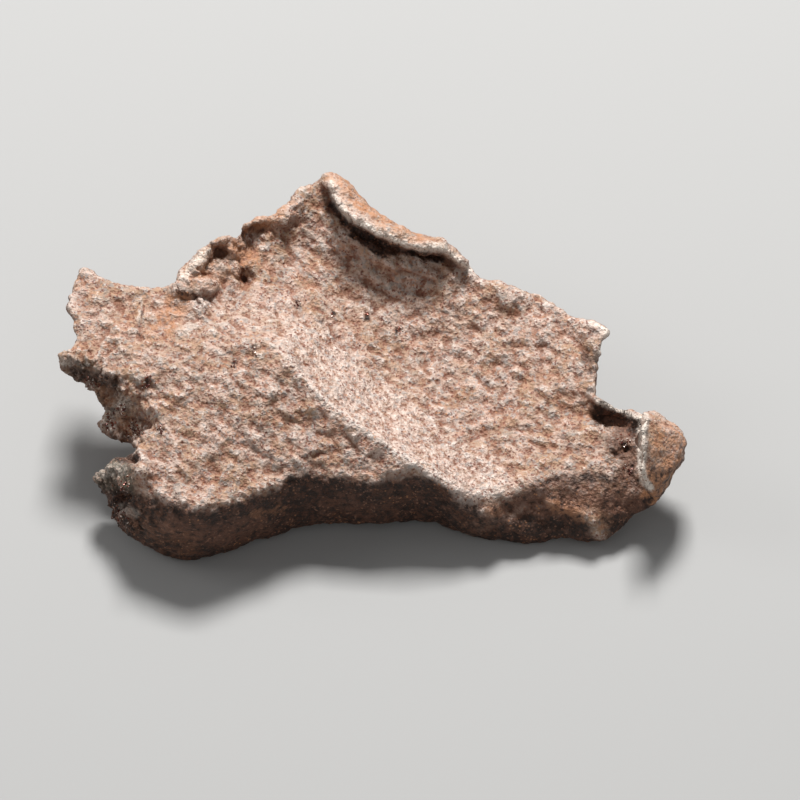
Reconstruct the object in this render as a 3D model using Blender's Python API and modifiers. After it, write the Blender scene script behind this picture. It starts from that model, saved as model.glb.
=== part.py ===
"""Iron meteorite: one torn, twisted plate of iron that lies on its back.

The plate is thick along its front wall and thins to a torn rim. A sharp ridge runs slantwise
over its face, with a broad dish behind it. The far rim curls over into a lip, the right end is
folded up into a tab, and the left end is torn into spikes.

The face is laid out in its own frame, in millimetres: u runs across, v runs up the face and
w stands out of it. FACE_TILT lays that frame down, so that u becomes X and the face looks up.
Heights in the tables are millimetres above the table that the meteorite lies on.
"""

import math

import bmesh
import bpy
import numpy as np
from mathutils import Matrix, Vector, noise

MM = 0.001
NODE = "meteorite"

# The face frame is turned by this angle about X to lay the plate down.
FACE_TILT = math.radians(35.0)
RISE_PER_V = math.sin(FACE_TILT)
RISE_PER_W = math.cos(FACE_TILT)

# Mesh sizes, in millimetres.
GRID_STEP = 0.36
GRID_WIDTH = 46.0
GRID_HEIGHT = 29.0
PRISM_HALF = 3.0
SLAB_HALF = 1.0
FUSE_VOXEL = 0.25
CURVE_STEPS = 3
TRIANGLES = 9000

# Edge of the plate, in millimetres.
RIM_THICKNESS = 0.9
THIN_RIM_ROLL = 6.0
THICK_RIM_ROLL = 1.6
EDGE_ROUNDING = 0.8
SHEET_THICKNESS = 0.85
TAB_THICKNESS = 0.95

# Outline of the plate, clockwise from the upper left horn: (u, v).
HORN = [
    (-21.2, 4.3), (-21.0, 5.0), (-20.7, 6.2), (-20.3, 6.9), (-19.7, 6.9), (-18.8, 6.2),
    (-17.0, 5.55), (-15.0, 5.45), (-13.6, 5.8),
]
POCKET_RIM = [
    (-13.2, 6.7), (-12.5, 7.6), (-11.5, 8.4), (-11.2, 8.9), (-10.3, 9.25), (-9.5, 9.05),
    (-8.9, 10.1), (-8.0, 10.5), (-7.0, 10.6), (-6.0, 11.4), (-5.2, 12.4), (-4.0, 13.0),
]
LIP_BACK = [
    (-2.9, 13.45), (-2.1, 13.4), (-1.0, 12.1), (0.5, 10.8), (2.0, 9.9), (3.9, 9.1),
    (5.0, 9.0), (5.8, 8.1), (6.9, 7.2), (7.8, 6.0),
]
RIGHT_RIM = [
    (9.0, 5.9), (10.0, 5.55), (12.0, 4.95), (13.1, 4.1), (14.3, 3.3), (15.6, 3.1),
    (16.6, 2.8), (16.75, 2.3), (16.3, 1.5), (16.0, 0.3), (15.8, -1.0), (16.0, -2.1),
    (17.0, -2.9), (18.8, -3.5),
]
TAB_FOLD = [
    (19.9, -3.5), (20.5, -4.0), (21.7, -4.2), (22.1, -5.2), (21.6, -6.5), (20.9, -7.9),
    (20.0, -8.8), (20.0, -9.5),
]
LOWER_RIGHT = [
    (18.6, -10.4), (17.0, -11.5), (16.0, -12.15), (14.5, -11.9), (13.5, -11.9),
    (11.2, -12.45), (9.5, -12.15), (7.5, -11.9), (5.7, -11.4),
]
LOWER_EDGE = [
    (4.5, -10.9), (2.0, -10.9), (0.0, -11.05), (-4.0, -11.1), (-6.0, -11.6), (-8.0, -12.2),
    (-10.0, -12.95), (-12.0, -13.45), (-13.2, -13.5), (-15.0, -13.0), (-17.0, -11.8),
    (-18.1, -10.3), (-18.6, -8.9),
]
LEFT_TEAR = [
    (-19.0, -8.4), (-19.6, -7.8), (-18.8, -7.4), (-17.9, -6.5), (-16.8, -6.3), (-16.05, -6.0),
    (-16.9, -5.3), (-18.1, -4.9), (-19.1, -3.95), (-18.4, -3.3), (-19.1, -2.2), (-19.7, -1.4),
    (-21.0, -0.8), (-22.0, 0.7), (-21.2, 1.0), (-20.7, 2.2),
]
OUTLINE = HORN + POCKET_RIM + LIP_BACK + RIGHT_RIM + TAB_FOLD + LOWER_RIGHT + LOWER_EDGE + LEFT_TEAR

# Brow of the front wall, where the face breaks over: (u, v, height).
BROW = [
    (-20.0, -8.2, 5.2), (-16.3, -8.8, 6.2), (-14.0, -9.6, 6.3), (-12.0, -10.05, 6.3),
    (-10.0, -9.6, 6.3), (-7.0, -8.7, 6.2), (-5.4, -7.5, 6.5), (-3.5, -7.6, 6.3),
    (0.0, -8.1, 6.0), (3.0, -7.6, 5.9), (4.8, -8.1, 5.4), (6.2, -9.0, 4.9),
    (8.0, -9.3, 4.5), (10.0, -8.8, 4.4), (12.0, -8.0, 4.4), (15.0, -7.6, 4.5),
    (18.5, -7.0, 4.7), (22.5, -6.5, 5.2),
]

# Foot of the front wall: (u, height) where it turns under.
WALL_FOOT = [
    (-20.0, 3.2), (-18.0, 1.8), (-13.0, 0.4), (-8.0, 0.7), (0.0, 0.9), (5.0, 0.7),
    (10.0, 0.4), (16.0, 0.6), (18.5, 1.7), (22.5, 4.2),
]

# How far the wall bulges between brow and foot: (u, bulge).
WALL_BULGE = [
    (-20.0, 0.5), (-12.0, 0.55), (-4.0, 0.1), (4.0, 0.1), (9.0, 0.5), (16.0, 0.4), (22.5, 0.1),
]

# Brow of the torn left end, from the upper spike down to the wall: (u, v).
TEAR_BROW = [
    (-22.4, 1.3), (-20.6, 0.1), (-19.0, -0.6), (-17.6, -1.2), (-16.2, -2.2), (-15.2, -3.2),
    (-14.8, -4.3), (-15.3, -5.3), (-16.0, -6.1), (-16.7, -7.2), (-16.5, -8.3), (-17.0, -9.2),
    (-18.2, -9.6), (-20.0, -9.4),
]
TEAR_DEPTH = 2.5
TEAR_REACH = 1.7

# Crest of the slanting ridge: (u, v, height), and the sharp line that stands on it.
CREST_RISE = 0.55
CREST_WIDTH = 0.95
RIDGE = [
    (-7.6, 1.6, 9.35), (-6.2, 0.8, 9.15), (-5.0, -0.6, 8.75), (-2.9, -2.7, 8.0),
    (-1.4, -3.8, 7.55), (0.7, -5.2, 7.0), (2.8, -6.6, 6.35), (4.2, -7.6, 5.85),
    (5.2, -8.3, 5.35),
]

# Spot heights of the face: (u, v, height).
FACE = [
    (-19.9, 5.6, 9.5), (-20.2, 2.8, 9.3), (-21.2, 0.5, 8.9), (-18.6, 0.0, 9.1),
    (-18.2, -3.6, 7.7), (-16.6, -4.6, 7.5), (-16.6, -7.0, 6.9), (-16.0, 4.2, 9.6),
    (-16.5, 2.0, 9.6), (-14.2, -4.0, 8.2), (-14.0, -7.6, 7.0), (-12.0, -2.5, 8.8),
    (-12.0, 0.5, 9.6), (-12.5, 2.4, 9.85), (-11.5, 4.0, 9.6), (-13.6, 5.2, 9.6),
    (-10.2, -6.2, 7.35), (-8.0, -3.4, 8.2), (-8.8, 0.4, 9.4), (-5.6, -4.6, 7.45),
    (-2.4, -5.6, 7.0), (0.4, -6.9, 6.45), (-9.8, 3.4, 9.3), (-7.0, 3.4, 8.6),
    (-5.2, 2.2, 8.35), (-3.2, 0.2, 7.75), (-0.8, -1.9, 6.85), (1.6, -3.8, 6.15),
    (4.2, -5.6, 5.2), (7.0, -7.2, 4.55), (-6.8, 6.0, 8.4), (-4.6, 5.2, 7.9),
    (-2.0, 2.6, 7.0), (0.6, 0.0, 6.15), (3.4, -2.2, 5.3), (6.6, -4.0, 4.6),
    (9.6, -5.4, 4.4), (-8.6, 8.4, 9.3), (-6.0, 9.2, 9.1), (-4.4, 8.2, 8.3),
    (-2.6, 6.2, 7.6), (0.0, 3.4, 6.5), (3.0, 0.8, 5.35), (6.4, -1.2, 4.75),
    (10.0, -2.6, 4.7), (13.2, -4.8, 4.7), (-11.2, 7.6, 10.3), (-9.6, 9.0, 10.4),
    (-6.4, 10.9, 10.1), (-4.0, 12.4, 10.3), (-2.6, 10.2, 9.4), (-1.0, 8.6, 8.55),
    (0.4, 7.0, 7.7), (2.6, 4.6, 6.5), (5.6, 2.0, 5.45), (9.0, 0.4, 5.3),
    (12.4, -0.8, 5.4), (15.0, -2.2, 5.7), (2.8, 7.6, 8.1), (5.0, 6.4, 7.3),
    (7.2, 4.4, 6.4), (10.0, 2.8, 6.1), (13.0, 1.6, 6.1), (14.8, 0.4, 6.3),
    (5.8, 7.6, 7.8), (8.4, 5.7, 6.9), (11.2, 4.9, 6.7), (14.2, 3.1, 6.9),
    (16.3, 2.3, 7.2), (15.7, -0.6, 6.4), (16.2, -3.4, 5.5), (17.2, -5.6, 4.8),
    (19.4, -6.4, 5.0), (20.8, -5.4, 5.2), (-2.6, 13.2, 10.6), (0.6, 10.4, 9.6),
    (3.6, 9.0, 8.7),
]

# Spot heights of the underside: (x, y, height). The three below zero are ground flat to rest on.
UNDERSIDE = [
    (-12.5, -14.4, -0.25), (12.4, -12.4, 0.0), (-1.2, -1.2, -0.4), (-6.0, -12.6, 0.9),
    (0.0, -11.6, 1.5), (6.0, -11.4, 1.4), (-16.5, -11.0, 2.9), (-12.0, -9.2, 3.4),
    (-6.0, -8.0, 2.6), (0.0, -6.0, 1.3), (7.0, -6.4, 1.2), (13.0, -7.6, 1.6),
    (17.5, -9.4, 2.6), (-18.0, -4.0, 6.3), (-13.0, -3.6, 6.2), (-8.0, -2.6, 4.9),
    (-5.0, 0.6, 2.9), (3.4, -1.0, 1.1), (8.6, -1.0, 2.2), (13.4, -2.6, 3.6),
    (16.4, -5.6, 4.2), (-13.0, -0.4, 6.4), (-10.0, 2.0, 6.9), (-6.0, 3.6, 6.7),
    (-2.0, 4.0, 5.4), (3.0, 3.6, 4.6), (8.0, 2.4, 4.6), (12.6, 0.4, 5.0),
    (-19.0, 1.0, 7.9), (20.0, -9.0, 3.8), (-5.5, -13.9, 0.3), (0.0, -13.5, 0.4),
    (5.0, -13.5, 0.3),
]

# Hollows pressed into the face: (u, v, length, width, angle in degrees, depth).
HOLLOWS = [
    (-8.9, 6.3, 0.8, 0.55, 100.0, 1.4),
    (-9.7, 7.2, 1.2, 0.6, 10.0, 0.75),
    (-11.0, 6.9, 1.3, 0.8, 55.0, 0.8),
    (-8.5, 9.35, 0.9, 0.4, 15.0, 0.75),
    (-5.5, 9.8, 0.7, 0.5, 30.0, 0.3),
    (12.2, 4.15, 1.5, 0.5, -32.0, 1.0),
    (17.2, -3.85, 1.9, 0.8, -15.0, 1.9),
    (18.2, -6.6, 0.9, 2.2, 0.0, 0.6),
    (15.3, 0.0, 0.8, 1.6, 0.0, 0.45),
    (-17.6, -9.4, 0.6, 0.5, 20.0, 1.3),
    (10.6, -10.0, 2.6, 0.8, 10.0, 0.4),
    (-3.4, -7.0, 1.6, 0.5, -12.0, 0.25),
]

# Knobs and bosses that stand on it: (u, v, length, width, angle in degrees, height).
KNOBS = [
    (-12.1, 5.7, 1.4, 0.7, 20.0, 1.1),
    (-12.5, 7.0, 1.5, 0.5, 52.0, 0.9),
    (-10.6, 8.75, 0.9, 0.6, 30.0, 0.7),
    (-8.3, 10.1, 1.0, 0.4, 10.0, 0.6),
    (-5.2, 11.4, 1.6, 0.6, 45.0, 0.4),
    (9.6, 5.0, 1.9, 0.55, -22.0, 0.45),
    (-16.0, -7.2, 0.8, 0.7, 0.0, 0.5),
    (-14.5, -11.4, 3.0, 1.6, 0.0, 0.3),
    (-19.2, 5.2, 1.3, 0.9, 120.0, 0.3),
    (15.6, -10.9, 1.2, 0.7, 30.0, 0.35),
    (-13.4, -9.2, 2.6, 1.0, 0.0, 0.25),
]

# Cavities that reach under the face: (u, v, height, radius along u, v and w, turn in degrees).
CAVITIES = [
    (-12.5, 4.5, 9.6, 0.85, 0.42, 1.8, -18.0),
    (-13.2, 4.95, 9.6, 0.45, 0.38, 1.5, -40.0),
]

# Rough torn places: (u, v, radius, strength), all strengths in millimetres.
TORN_PLACES = [
    (-11.5, 8.0, 2.6, 0.38), (-7.8, 9.8, 1.9, 0.26), (-18.2, -2.8, 2.6, 0.42),
    (-18.0, -7.8, 2.2, 0.42), (-17.4, -5.6, 1.6, 0.35), (-21.2, 1.0, 1.6, 0.2),
    (17.0, -6.0, 1.8, 0.22), (-5.0, 12.0, 1.6, 0.15),
]

# Curl of the lip: each station is (fold u, fold v, edge u, edge v, rise of the edge).
LIP = [
    (-3.2, 13.3, -3.0, 12.9, 0.25), (-2.5, 13.45, -2.75, 12.5, 0.9),
    (-1.9, 13.1, -2.3, 11.6, 1.6), (-1.0, 12.1, -1.5, 10.6, 1.95),
    (0.2, 11.05, -0.4, 9.9, 2.05), (1.2, 10.3, 0.8, 9.25, 1.95),
    (2.4, 9.7, 2.1, 8.7, 1.75), (3.7, 9.15, 3.4, 8.3, 1.5),
    (4.9, 8.95, 4.6, 8.25, 1.2), (5.7, 8.2, 5.5, 7.8, 0.8),
    (6.7, 7.35, 6.5, 7.05, 0.45),
]

# Section of the lip from its root to its free edge: (share of the way in, share of the rise).
LIP_SECTION = [(2.0, -0.5), (0.95, -0.42), (0.4, -0.1), (0.36, 0.42), (0.62, 0.8), (1.0, 1.0)]

# Fold of the tab: the same five values for each station.
TAB = [
    (19.6, -3.45, 19.15, -3.6, 1.6), (20.8, -4.1, 19.0, -4.3, 2.7),
    (21.9, -4.9, 18.95, -5.2, 3.1), (21.9, -5.9, 19.1, -6.1, 3.1),
    (21.3, -7.1, 19.05, -7.1, 2.7), (20.5, -8.4, 19.25, -8.2, 2.0),
    (19.9, -9.1, 19.5, -8.7, 1.2),
]
TAB_SECTION = [(1.5, -0.6), (0.75, -0.5), (0.25, -0.25), (0.14, 0.08), (0.52, 0.56), (1.0, 1.0)]


def clear_scene():
    """Remove whatever the open file holds."""
    for item in list(bpy.data.objects):
        bpy.data.objects.remove(item, do_unlink=True)


def new_collection(name):
    """Return a new collection linked to the scene."""
    collection = bpy.data.collections.new(name)
    bpy.context.scene.collection.children.link(collection)
    return collection


def new_object(name, mesh, collection):
    """Return a new object that shows the mesh."""
    item = bpy.data.objects.new(name, mesh)
    collection.objects.link(item)
    return item


def rounded(points, closed):
    """Return a smooth line through the points, with a few steps between each pair."""
    count = len(points)
    last = count if closed else count - 1
    line = []
    for index in range(last):
        if closed:
            ring = [points[(index + step) % count] for step in (-1, 0, 1, 2)]
        else:
            ring = [points[min(max(index + step, 0), count - 1)] for step in (-1, 0, 1, 2)]
        before, start, end, after = (np.array(point, dtype=float) for point in ring)
        for step in range(CURVE_STEPS):
            t = step / CURVE_STEPS
            bend = 2 * start + (end - before) * t
            bend = bend + (2 * before - 5 * start + 4 * end - after) * t * t
            bend = bend + (3 * start - before - 3 * end + after) * t ** 3
            line.append(bend / 2)
    if not closed:
        line.append(np.array(points[-1], dtype=float))
    return np.array(line)


def thin_plate(spots):
    """Return a function of u and v that bends smoothly through the spot heights."""
    table = np.array(spots, dtype=float)
    places = table[:, :2]
    count = len(places)
    gap = places[:, None, :] - places[None, :, :]
    square = (gap ** 2).sum(axis=2) + 1e-9
    system = np.zeros((count + 3, count + 3))
    system[:count, :count] = square * np.log(square) + np.eye(count) * 0.4
    system[:count, count] = 1.0
    system[:count, count + 1:] = places
    system[count:, :count] = system[:count, count:].T
    weights = np.linalg.solve(system, np.append(table[:, 2], np.zeros(3)))

    def height(u, v):
        total = weights[count] + weights[count + 1] * u + weights[count + 2] * v
        for (spot_u, spot_v), weight in zip(places, weights[:count]):
            reach = (u - spot_u) ** 2 + (v - spot_v) ** 2 + 1e-9
            total = total + weight * reach * np.log(reach)
        return total

    return height


def along(table, column, u):
    """Return one column of a table of stations, read at u."""
    stations = np.array(table, dtype=float)
    return np.interp(u, stations[:, 0], stations[:, column])


def reach_to_line(u, v, line, closed):
    """Return the distance from each place to a line of points."""
    starts = line
    ends = np.roll(line, -1, axis=0)
    if not closed:
        starts = starts[:-1]
        ends = ends[:-1]
    nearest = np.full(np.shape(u), 1e9)
    for (start_u, start_v), (end_u, end_v) in zip(starts, ends):
        run_u = end_u - start_u
        run_v = end_v - start_v
        length = run_u ** 2 + run_v ** 2 + 1e-12
        share = np.clip(((u - start_u) * run_u + (v - start_v) * run_v) / length, 0.0, 1.0)
        gap = np.hypot(u - start_u - share * run_u, v - start_v - share * run_v)
        nearest = np.minimum(nearest, gap)
    return nearest


def fall_outside(u, v, line):
    """Return how far each place lies outside a line, or 0 inside it."""
    nearest = np.full(np.shape(u), 1e9)
    outside = np.zeros(np.shape(u))
    for (start_u, start_v), (end_u, end_v) in zip(line, line[1:]):
        run_u = end_u - start_u
        run_v = end_v - start_v
        length = run_u ** 2 + run_v ** 2
        share = np.clip(((u - start_u) * run_u + (v - start_v) * run_v) / length, 0.0, 1.0)
        gap = np.hypot(u - start_u - share * run_u, v - start_v - share * run_v)
        side = (u - start_u) * run_v - (v - start_v) * run_u
        closer = gap < nearest
        outside = np.where(closer, np.where(side > 0, gap, 0.0), outside)
        nearest = np.minimum(nearest, gap)
    return outside


def soft_lower(first, second, width):
    """Return the lower of two heights, blended where they are within the width."""
    mix = np.clip(0.5 + 0.5 * (second - first) / width, 0.0, 1.0)
    return second * (1 - mix) + first * mix - width * mix * (1 - mix)


def smooth_step(value, low, high):
    """Return 0 below low and 1 above high, with a smooth rise between."""
    share = np.clip((value - low) / (high - low), 0.0, 1.0)
    return share * share * (3 - 2 * share)


def bump(u, v, centre_u, centre_v, length, width, angle):
    """Return a round hill of height 1 with an oval foot."""
    turn = math.radians(angle)
    along_u = (u - centre_u) * math.cos(turn) + (v - centre_v) * math.sin(turn)
    across = -(u - centre_u) * math.sin(turn) + (v - centre_v) * math.cos(turn)
    return np.exp(-((along_u / length) ** 2 + (across / width) ** 2))


def grain(u, v, size, seed):
    """Return lumpy noise between about -1 and 1, with lumps of the size."""
    flat_u = np.ravel(u) / size
    flat_v = np.ravel(v) / size
    values = [noise.noise(Vector((a, b, seed))) for a, b in zip(flat_u, flat_v)]
    return np.array(values).reshape(np.shape(u)) * 1.6


def to_w(height, v):
    """Return how far out of the face frame a height above the table lies."""
    return (height - v * RISE_PER_V) / RISE_PER_W


class Relief:
    """Both surfaces of the plate, read at any place in the face frame."""

    def __init__(self):
        """Fit the smooth surfaces to the spot heights."""
        self.outline = rounded(OUTLINE, closed=True)
        self.face = thin_plate(FACE + RIDGE + BROW)
        under = [(x, y * RISE_PER_W + z * RISE_PER_V, z) for x, y, z in UNDERSIDE]
        self.under = thin_plate(under)
        ridge = np.array(RIDGE)[:, :2]
        self.ridge = rounded([tuple(point) for point in ridge], closed=False)
        self.foot_line = np.array(LOWER_RIGHT + LOWER_EDGE)[::-1]

    def ridge_crest(self, u, v):
        """Return the sharp crest that stands along the ridge."""
        reach = reach_to_line(u, v, self.ridge, closed=False)
        return CREST_RISE * np.exp(-reach / CREST_WIDTH)

    def wall(self, u, v):
        """Return the height of the front wall, from its brow down to its foot."""
        brow_v = along(BROW, 1, u)
        brow_height = along(BROW, 2, u)
        foot_v = np.interp(u, self.foot_line[:, 0], self.foot_line[:, 1])
        foot_height = along(WALL_FOOT, 1, u)
        share = (v - foot_v) / np.maximum(brow_v - foot_v, 0.6)
        bulge = along(WALL_BULGE, 1, u) * 4 * np.clip(share, 0, 1) * (1 - np.clip(share, 0, 1))
        return foot_height + (brow_height - foot_height) * share + bulge

    def torn(self, u, v):
        """Return the rough relief of the torn places."""
        strength = sum(
            power * np.exp(-((u - place_u) ** 2 + (v - place_v) ** 2) / radius ** 2)
            for place_u, place_v, radius, power in TORN_PLACES
        )
        return strength * (grain(u, v, 1.1, 4.0) + 0.6 * grain(u, v, 0.6, 9.0))

    def front(self, u, v):
        """Return how far the face stands out at each place."""
        height = self.face(u, v) + self.ridge_crest(u, v)
        height = soft_lower(height, self.wall(u, v), EDGE_ROUNDING)
        fall = 1 - np.exp(-fall_outside(u, v, TEAR_BROW) / TEAR_REACH)
        height = height - TEAR_DEPTH * fall
        for place_u, place_v, length, width, angle, depth in HOLLOWS:
            height = height - depth * bump(u, v, place_u, place_v, length, width, angle)
        for place_u, place_v, length, width, angle, rise in KNOBS:
            height = height + rise * bump(u, v, place_u, place_v, length, width, angle)
        lumps = 0.16 * grain(u, v, 2.6, 1.0) + 0.11 * grain(u, v, 1.3, 2.0)
        return to_w(height + self.torn(u, v), v) + lumps

    def back(self, u, v):
        """Return how far back the underside lies at each place."""
        front = self.front(u, v)
        height = self.under(u, v) + 0.22 * grain(u, v, 3.4, 21.0) + 0.12 * grain(u, v, 1.5, 23.0)
        deep = to_w(height, v)
        inset = reach_to_line(u, v, self.outline, closed=True)
        roll = THICK_RIM_ROLL + (THIN_RIM_ROLL - THICK_RIM_ROLL) * smooth_step(v, -9.0, -3.0)
        share = np.clip(inset / roll, 0.0, 1.0)
        share = np.sqrt(1 - (1 - share) ** 2)
        rim = front - RIM_THICKNESS
        return np.minimum(rim + (deep - rim) * share, front - RIM_THICKNESS)


def outline_prism(relief, collection):
    """Return a tall prism over the outline of the plate."""
    curve = bpy.data.curves.new("outline", "CURVE")
    curve.dimensions = "2D"
    curve.fill_mode = "BOTH"
    curve.extrude = PRISM_HALF * MM
    spline = curve.splines.new("POLY")
    spline.points.add(len(relief.outline) - 1)
    for point, (u, v) in zip(spline.points, relief.outline):
        point.co = (u * MM, v * MM, 0.0, 1.0)
    spline.use_cyclic_u = True
    item = new_object("outline", curve, collection)
    return curve_to_mesh(item, collection)


def curve_to_mesh(item, collection):
    """Return a welded mesh object in place of a curve object."""
    bpy.context.view_layer.update()
    evaluated = item.evaluated_get(bpy.context.evaluated_depsgraph_get())
    mesh = bpy.data.meshes.new_from_object(evaluated)
    weld(mesh)
    name = item.name
    bpy.data.objects.remove(item, do_unlink=True)
    return new_object(name, mesh, collection)


def weld(mesh):
    """Merge the points of a mesh that coincide, and turn its faces outward."""
    work = bmesh.new()
    work.from_mesh(mesh)
    bmesh.ops.remove_doubles(work, verts=work.verts, dist=0.000001)
    bmesh.ops.recalc_face_normals(work, faces=work.faces)
    work.to_mesh(mesh)
    work.free()


def flat_slab(collection):
    """Return a wide flat slab whose two faces are fine grids."""
    work = bmesh.new()
    bmesh.ops.create_grid(
        work,
        x_segments=round(GRID_WIDTH / GRID_STEP),
        y_segments=round(GRID_HEIGHT / GRID_STEP),
        size=0.5 * MM,
    )
    bmesh.ops.scale(work, verts=work.verts, vec=(GRID_WIDTH, GRID_HEIGHT, 1.0))
    bmesh.ops.translate(work, verts=work.verts, vec=(0.0, 0.0, SLAB_HALF * MM))
    top = list(work.faces)
    grown = bmesh.ops.extrude_face_region(work, geom=top, use_keep_orig=True)
    moved = [part for part in grown["geom"] if isinstance(part, bmesh.types.BMVert)]
    bmesh.ops.translate(work, verts=moved, vec=(0.0, 0.0, -2 * SLAB_HALF * MM))
    bmesh.ops.recalc_face_normals(work, faces=work.faces)
    mesh = bpy.data.meshes.new("plate")
    work.to_mesh(mesh)
    work.free()
    return new_object("plate", mesh, collection)


def apply_modifiers(item):
    """Bake an object's modifiers into its mesh."""
    bpy.context.view_layer.update()
    evaluated = item.evaluated_get(bpy.context.evaluated_depsgraph_get())
    mesh = bpy.data.meshes.new_from_object(evaluated)
    item.modifiers.clear()
    item.data = mesh


def boolean(item, cutter, operation):
    """Apply one Boolean of the item with the cutter."""
    modifier = item.modifiers.new(operation.lower(), "BOOLEAN")
    modifier.operation = operation
    modifier.solver = "EXACT"
    modifier.object = cutter
    apply_modifiers(item)


def hide_cutter(cutter):
    """Mark an object as a cutter that isn't part of the model."""
    cutter.hide_render = True
    cutter.display_type = "WIRE"


def plate(relief, parts, cutters):
    """Return the plate: the slab trimmed to the outline, then pressed into its relief."""
    slab = flat_slab(parts)
    prism = outline_prism(relief, cutters)
    hide_cutter(prism)
    boolean(slab, prism, "INTERSECT")
    weld(slab.data)
    points = np.empty(len(slab.data.vertices) * 3)
    slab.data.vertices.foreach_get("co", points)
    points = points.reshape(-1, 3)
    u = points[:, 0] / MM
    v = points[:, 1] / MM
    face = points[:, 2] > 0
    points[face, 2] = relief.front(u[face], v[face]) * MM
    points[~face, 2] = relief.back(u[~face], v[~face]) * MM
    slab.data.vertices.foreach_set("co", points.ravel())
    slab.data.update()
    return slab


def curled_sheet(name, relief, stations, section, thickness, collection):
    """Return a sheet lofted from the rim of the plate over to a free edge."""
    lines = rounded(stations, closed=False)
    profile = rounded(section, closed=False)
    work = bmesh.new()
    rows = []
    for fold_u, fold_v, edge_u, edge_v, rise in lines:
        root = relief.front(np.array([fold_u]), np.array([fold_v]))[0]
        row = []
        for inward, upward in profile:
            u = fold_u + (edge_u - fold_u) * inward
            v = fold_v + (edge_v - fold_v) * inward
            row.append(work.verts.new((u * MM, v * MM, (root + rise * upward) * MM)))
        rows.append(row)
    for row, following in zip(rows, rows[1:]):
        for index in range(len(row) - 1):
            work.faces.new((row[index], row[index + 1], following[index + 1], following[index]))
    mesh = bpy.data.meshes.new(name)
    work.to_mesh(mesh)
    work.free()
    sheet = new_object(name, mesh, collection)
    solid = sheet.modifiers.new("solidify", "SOLIDIFY")
    solid.thickness = thickness * MM
    solid.offset = 0.0
    apply_modifiers(sheet)
    weld(sheet.data)
    return sheet


def cavity(place, collection):
    """Return one oval cutter that digs under the face."""
    u, v, height, radius_u, radius_v, radius_w, turn = place
    work = bmesh.new()
    bmesh.ops.create_uvsphere(work, u_segments=20, v_segments=12, radius=1.0)
    mesh = bpy.data.meshes.new("cavity")
    work.to_mesh(mesh)
    work.free()
    size = Matrix.Diagonal((radius_u * MM, radius_v * MM, radius_w * MM, 1.0))
    spin = Matrix.Rotation(math.radians(turn), 4, "Z")
    move = Matrix.Translation((u * MM, v * MM, to_w(height, v) * MM))
    mesh.transform(move @ spin @ size)
    cutter = new_object("cavity", mesh, collection)
    hide_cutter(cutter)
    return cutter


def fuse(item, pieces):
    """Fuse the pieces into the item as one skin."""
    work = bmesh.new()
    work.from_mesh(item.data)
    for piece in pieces:
        work.from_mesh(piece.data)
        bpy.data.objects.remove(piece, do_unlink=True)
    work.to_mesh(item.data)
    work.free()
    remesh = item.modifiers.new("fuse", "REMESH")
    remesh.mode = "VOXEL"
    remesh.voxel_size = FUSE_VOXEL * MM
    apply_modifiers(item)


def relax_and_thin(item):
    """Relax the fused skin a little and thin its triangles."""
    relax = item.modifiers.new("relax", "SMOOTH")
    relax.factor = 0.5
    relax.iterations = 4
    apply_modifiers(item)
    triangles = sum(len(face.vertices) - 2 for face in item.data.polygons)
    thin = item.modifiers.new("thin", "DECIMATE")
    thin.ratio = TRIANGLES / triangles
    thin.use_collapse_triangulate = True
    apply_modifiers(item)
    keep_largest(item.data)


def keep_largest(mesh):
    """Delete any crumb that isn't joined to the main body."""
    work = bmesh.new()
    work.from_mesh(mesh)
    unseen = set(work.verts)
    bodies = []
    while unseen:
        body = {unseen.pop()}
        front = list(body)
        while front:
            vert = front.pop()
            for edge in vert.link_edges:
                other = edge.other_vert(vert)
                if other in unseen:
                    unseen.discard(other)
                    body.add(other)
                    front.append(other)
        bodies.append(body)
    bodies.sort(key=len)
    for crumb in bodies[:-1]:
        bmesh.ops.delete(work, geom=list(crumb), context="VERTS")
    work.to_mesh(mesh)
    work.free()


def lay_down(item):
    """Turn the face frame down on to the table."""
    item.data.transform(Matrix.Rotation(FACE_TILT, 4, "X"))


def rest_cutter(collection):
    """Return a block whose top is the table's plane."""
    size = 80.0 * MM
    work = bmesh.new()
    bmesh.ops.create_cube(work, size=size)
    bmesh.ops.translate(work, verts=work.verts, vec=(0.0, 0.0, -size / 2))
    mesh = bpy.data.meshes.new("table_plane")
    work.to_mesh(mesh)
    work.free()
    cutter = new_object("table_plane", mesh, collection)
    hide_cutter(cutter)
    return cutter


def centre(mesh):
    """Put the origin at the bottom centre of the mesh's box."""
    points = np.empty(len(mesh.vertices) * 3)
    mesh.vertices.foreach_get("co", points)
    points = points.reshape(-1, 3)
    low = points.min(axis=0)
    high = points.max(axis=0)
    shift = Vector(((low[0] + high[0]) / 2, (low[1] + high[1]) / 2, low[2]))
    mesh.transform(Matrix.Translation(-shift))
    return shift


def rusty_iron():
    """Return the material of the meteorite."""
    material = bpy.data.materials.new("rusty_iron")
    material.use_nodes = True
    shader = material.node_tree.nodes["Principled BSDF"]
    shader.inputs["Base Color"].default_value = (0.36, 0.22, 0.16, 1.0)
    shader.inputs["Metallic"].default_value = 0.35
    shader.inputs["Roughness"].default_value = 0.6
    return material


def main():
    """Build the meteorite."""
    clear_scene()
    parts = new_collection("iron_meteorite")
    cutters = new_collection("cutters")
    relief = Relief()
    body = plate(relief, parts, cutters)
    for place in CAVITIES:
        boolean(body, cavity(place, cutters), "DIFFERENCE")
    lip = curled_sheet("lip", relief, LIP, LIP_SECTION, SHEET_THICKNESS, parts)
    tab = curled_sheet("tab", relief, TAB, TAB_SECTION, TAB_THICKNESS, parts)
    fuse(body, [lip, tab])
    relax_and_thin(body)
    lay_down(body)
    boolean(body, rest_cutter(cutters), "DIFFERENCE")
    weld(body.data)
    shift = centre(body.data)
    body.name = NODE
    body.data.materials.clear()
    body.data.materials.append(rusty_iron())
    print("face frame zero is at", tuple(round(-value / MM, 3) for value in shift), "mm")
    return body


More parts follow.
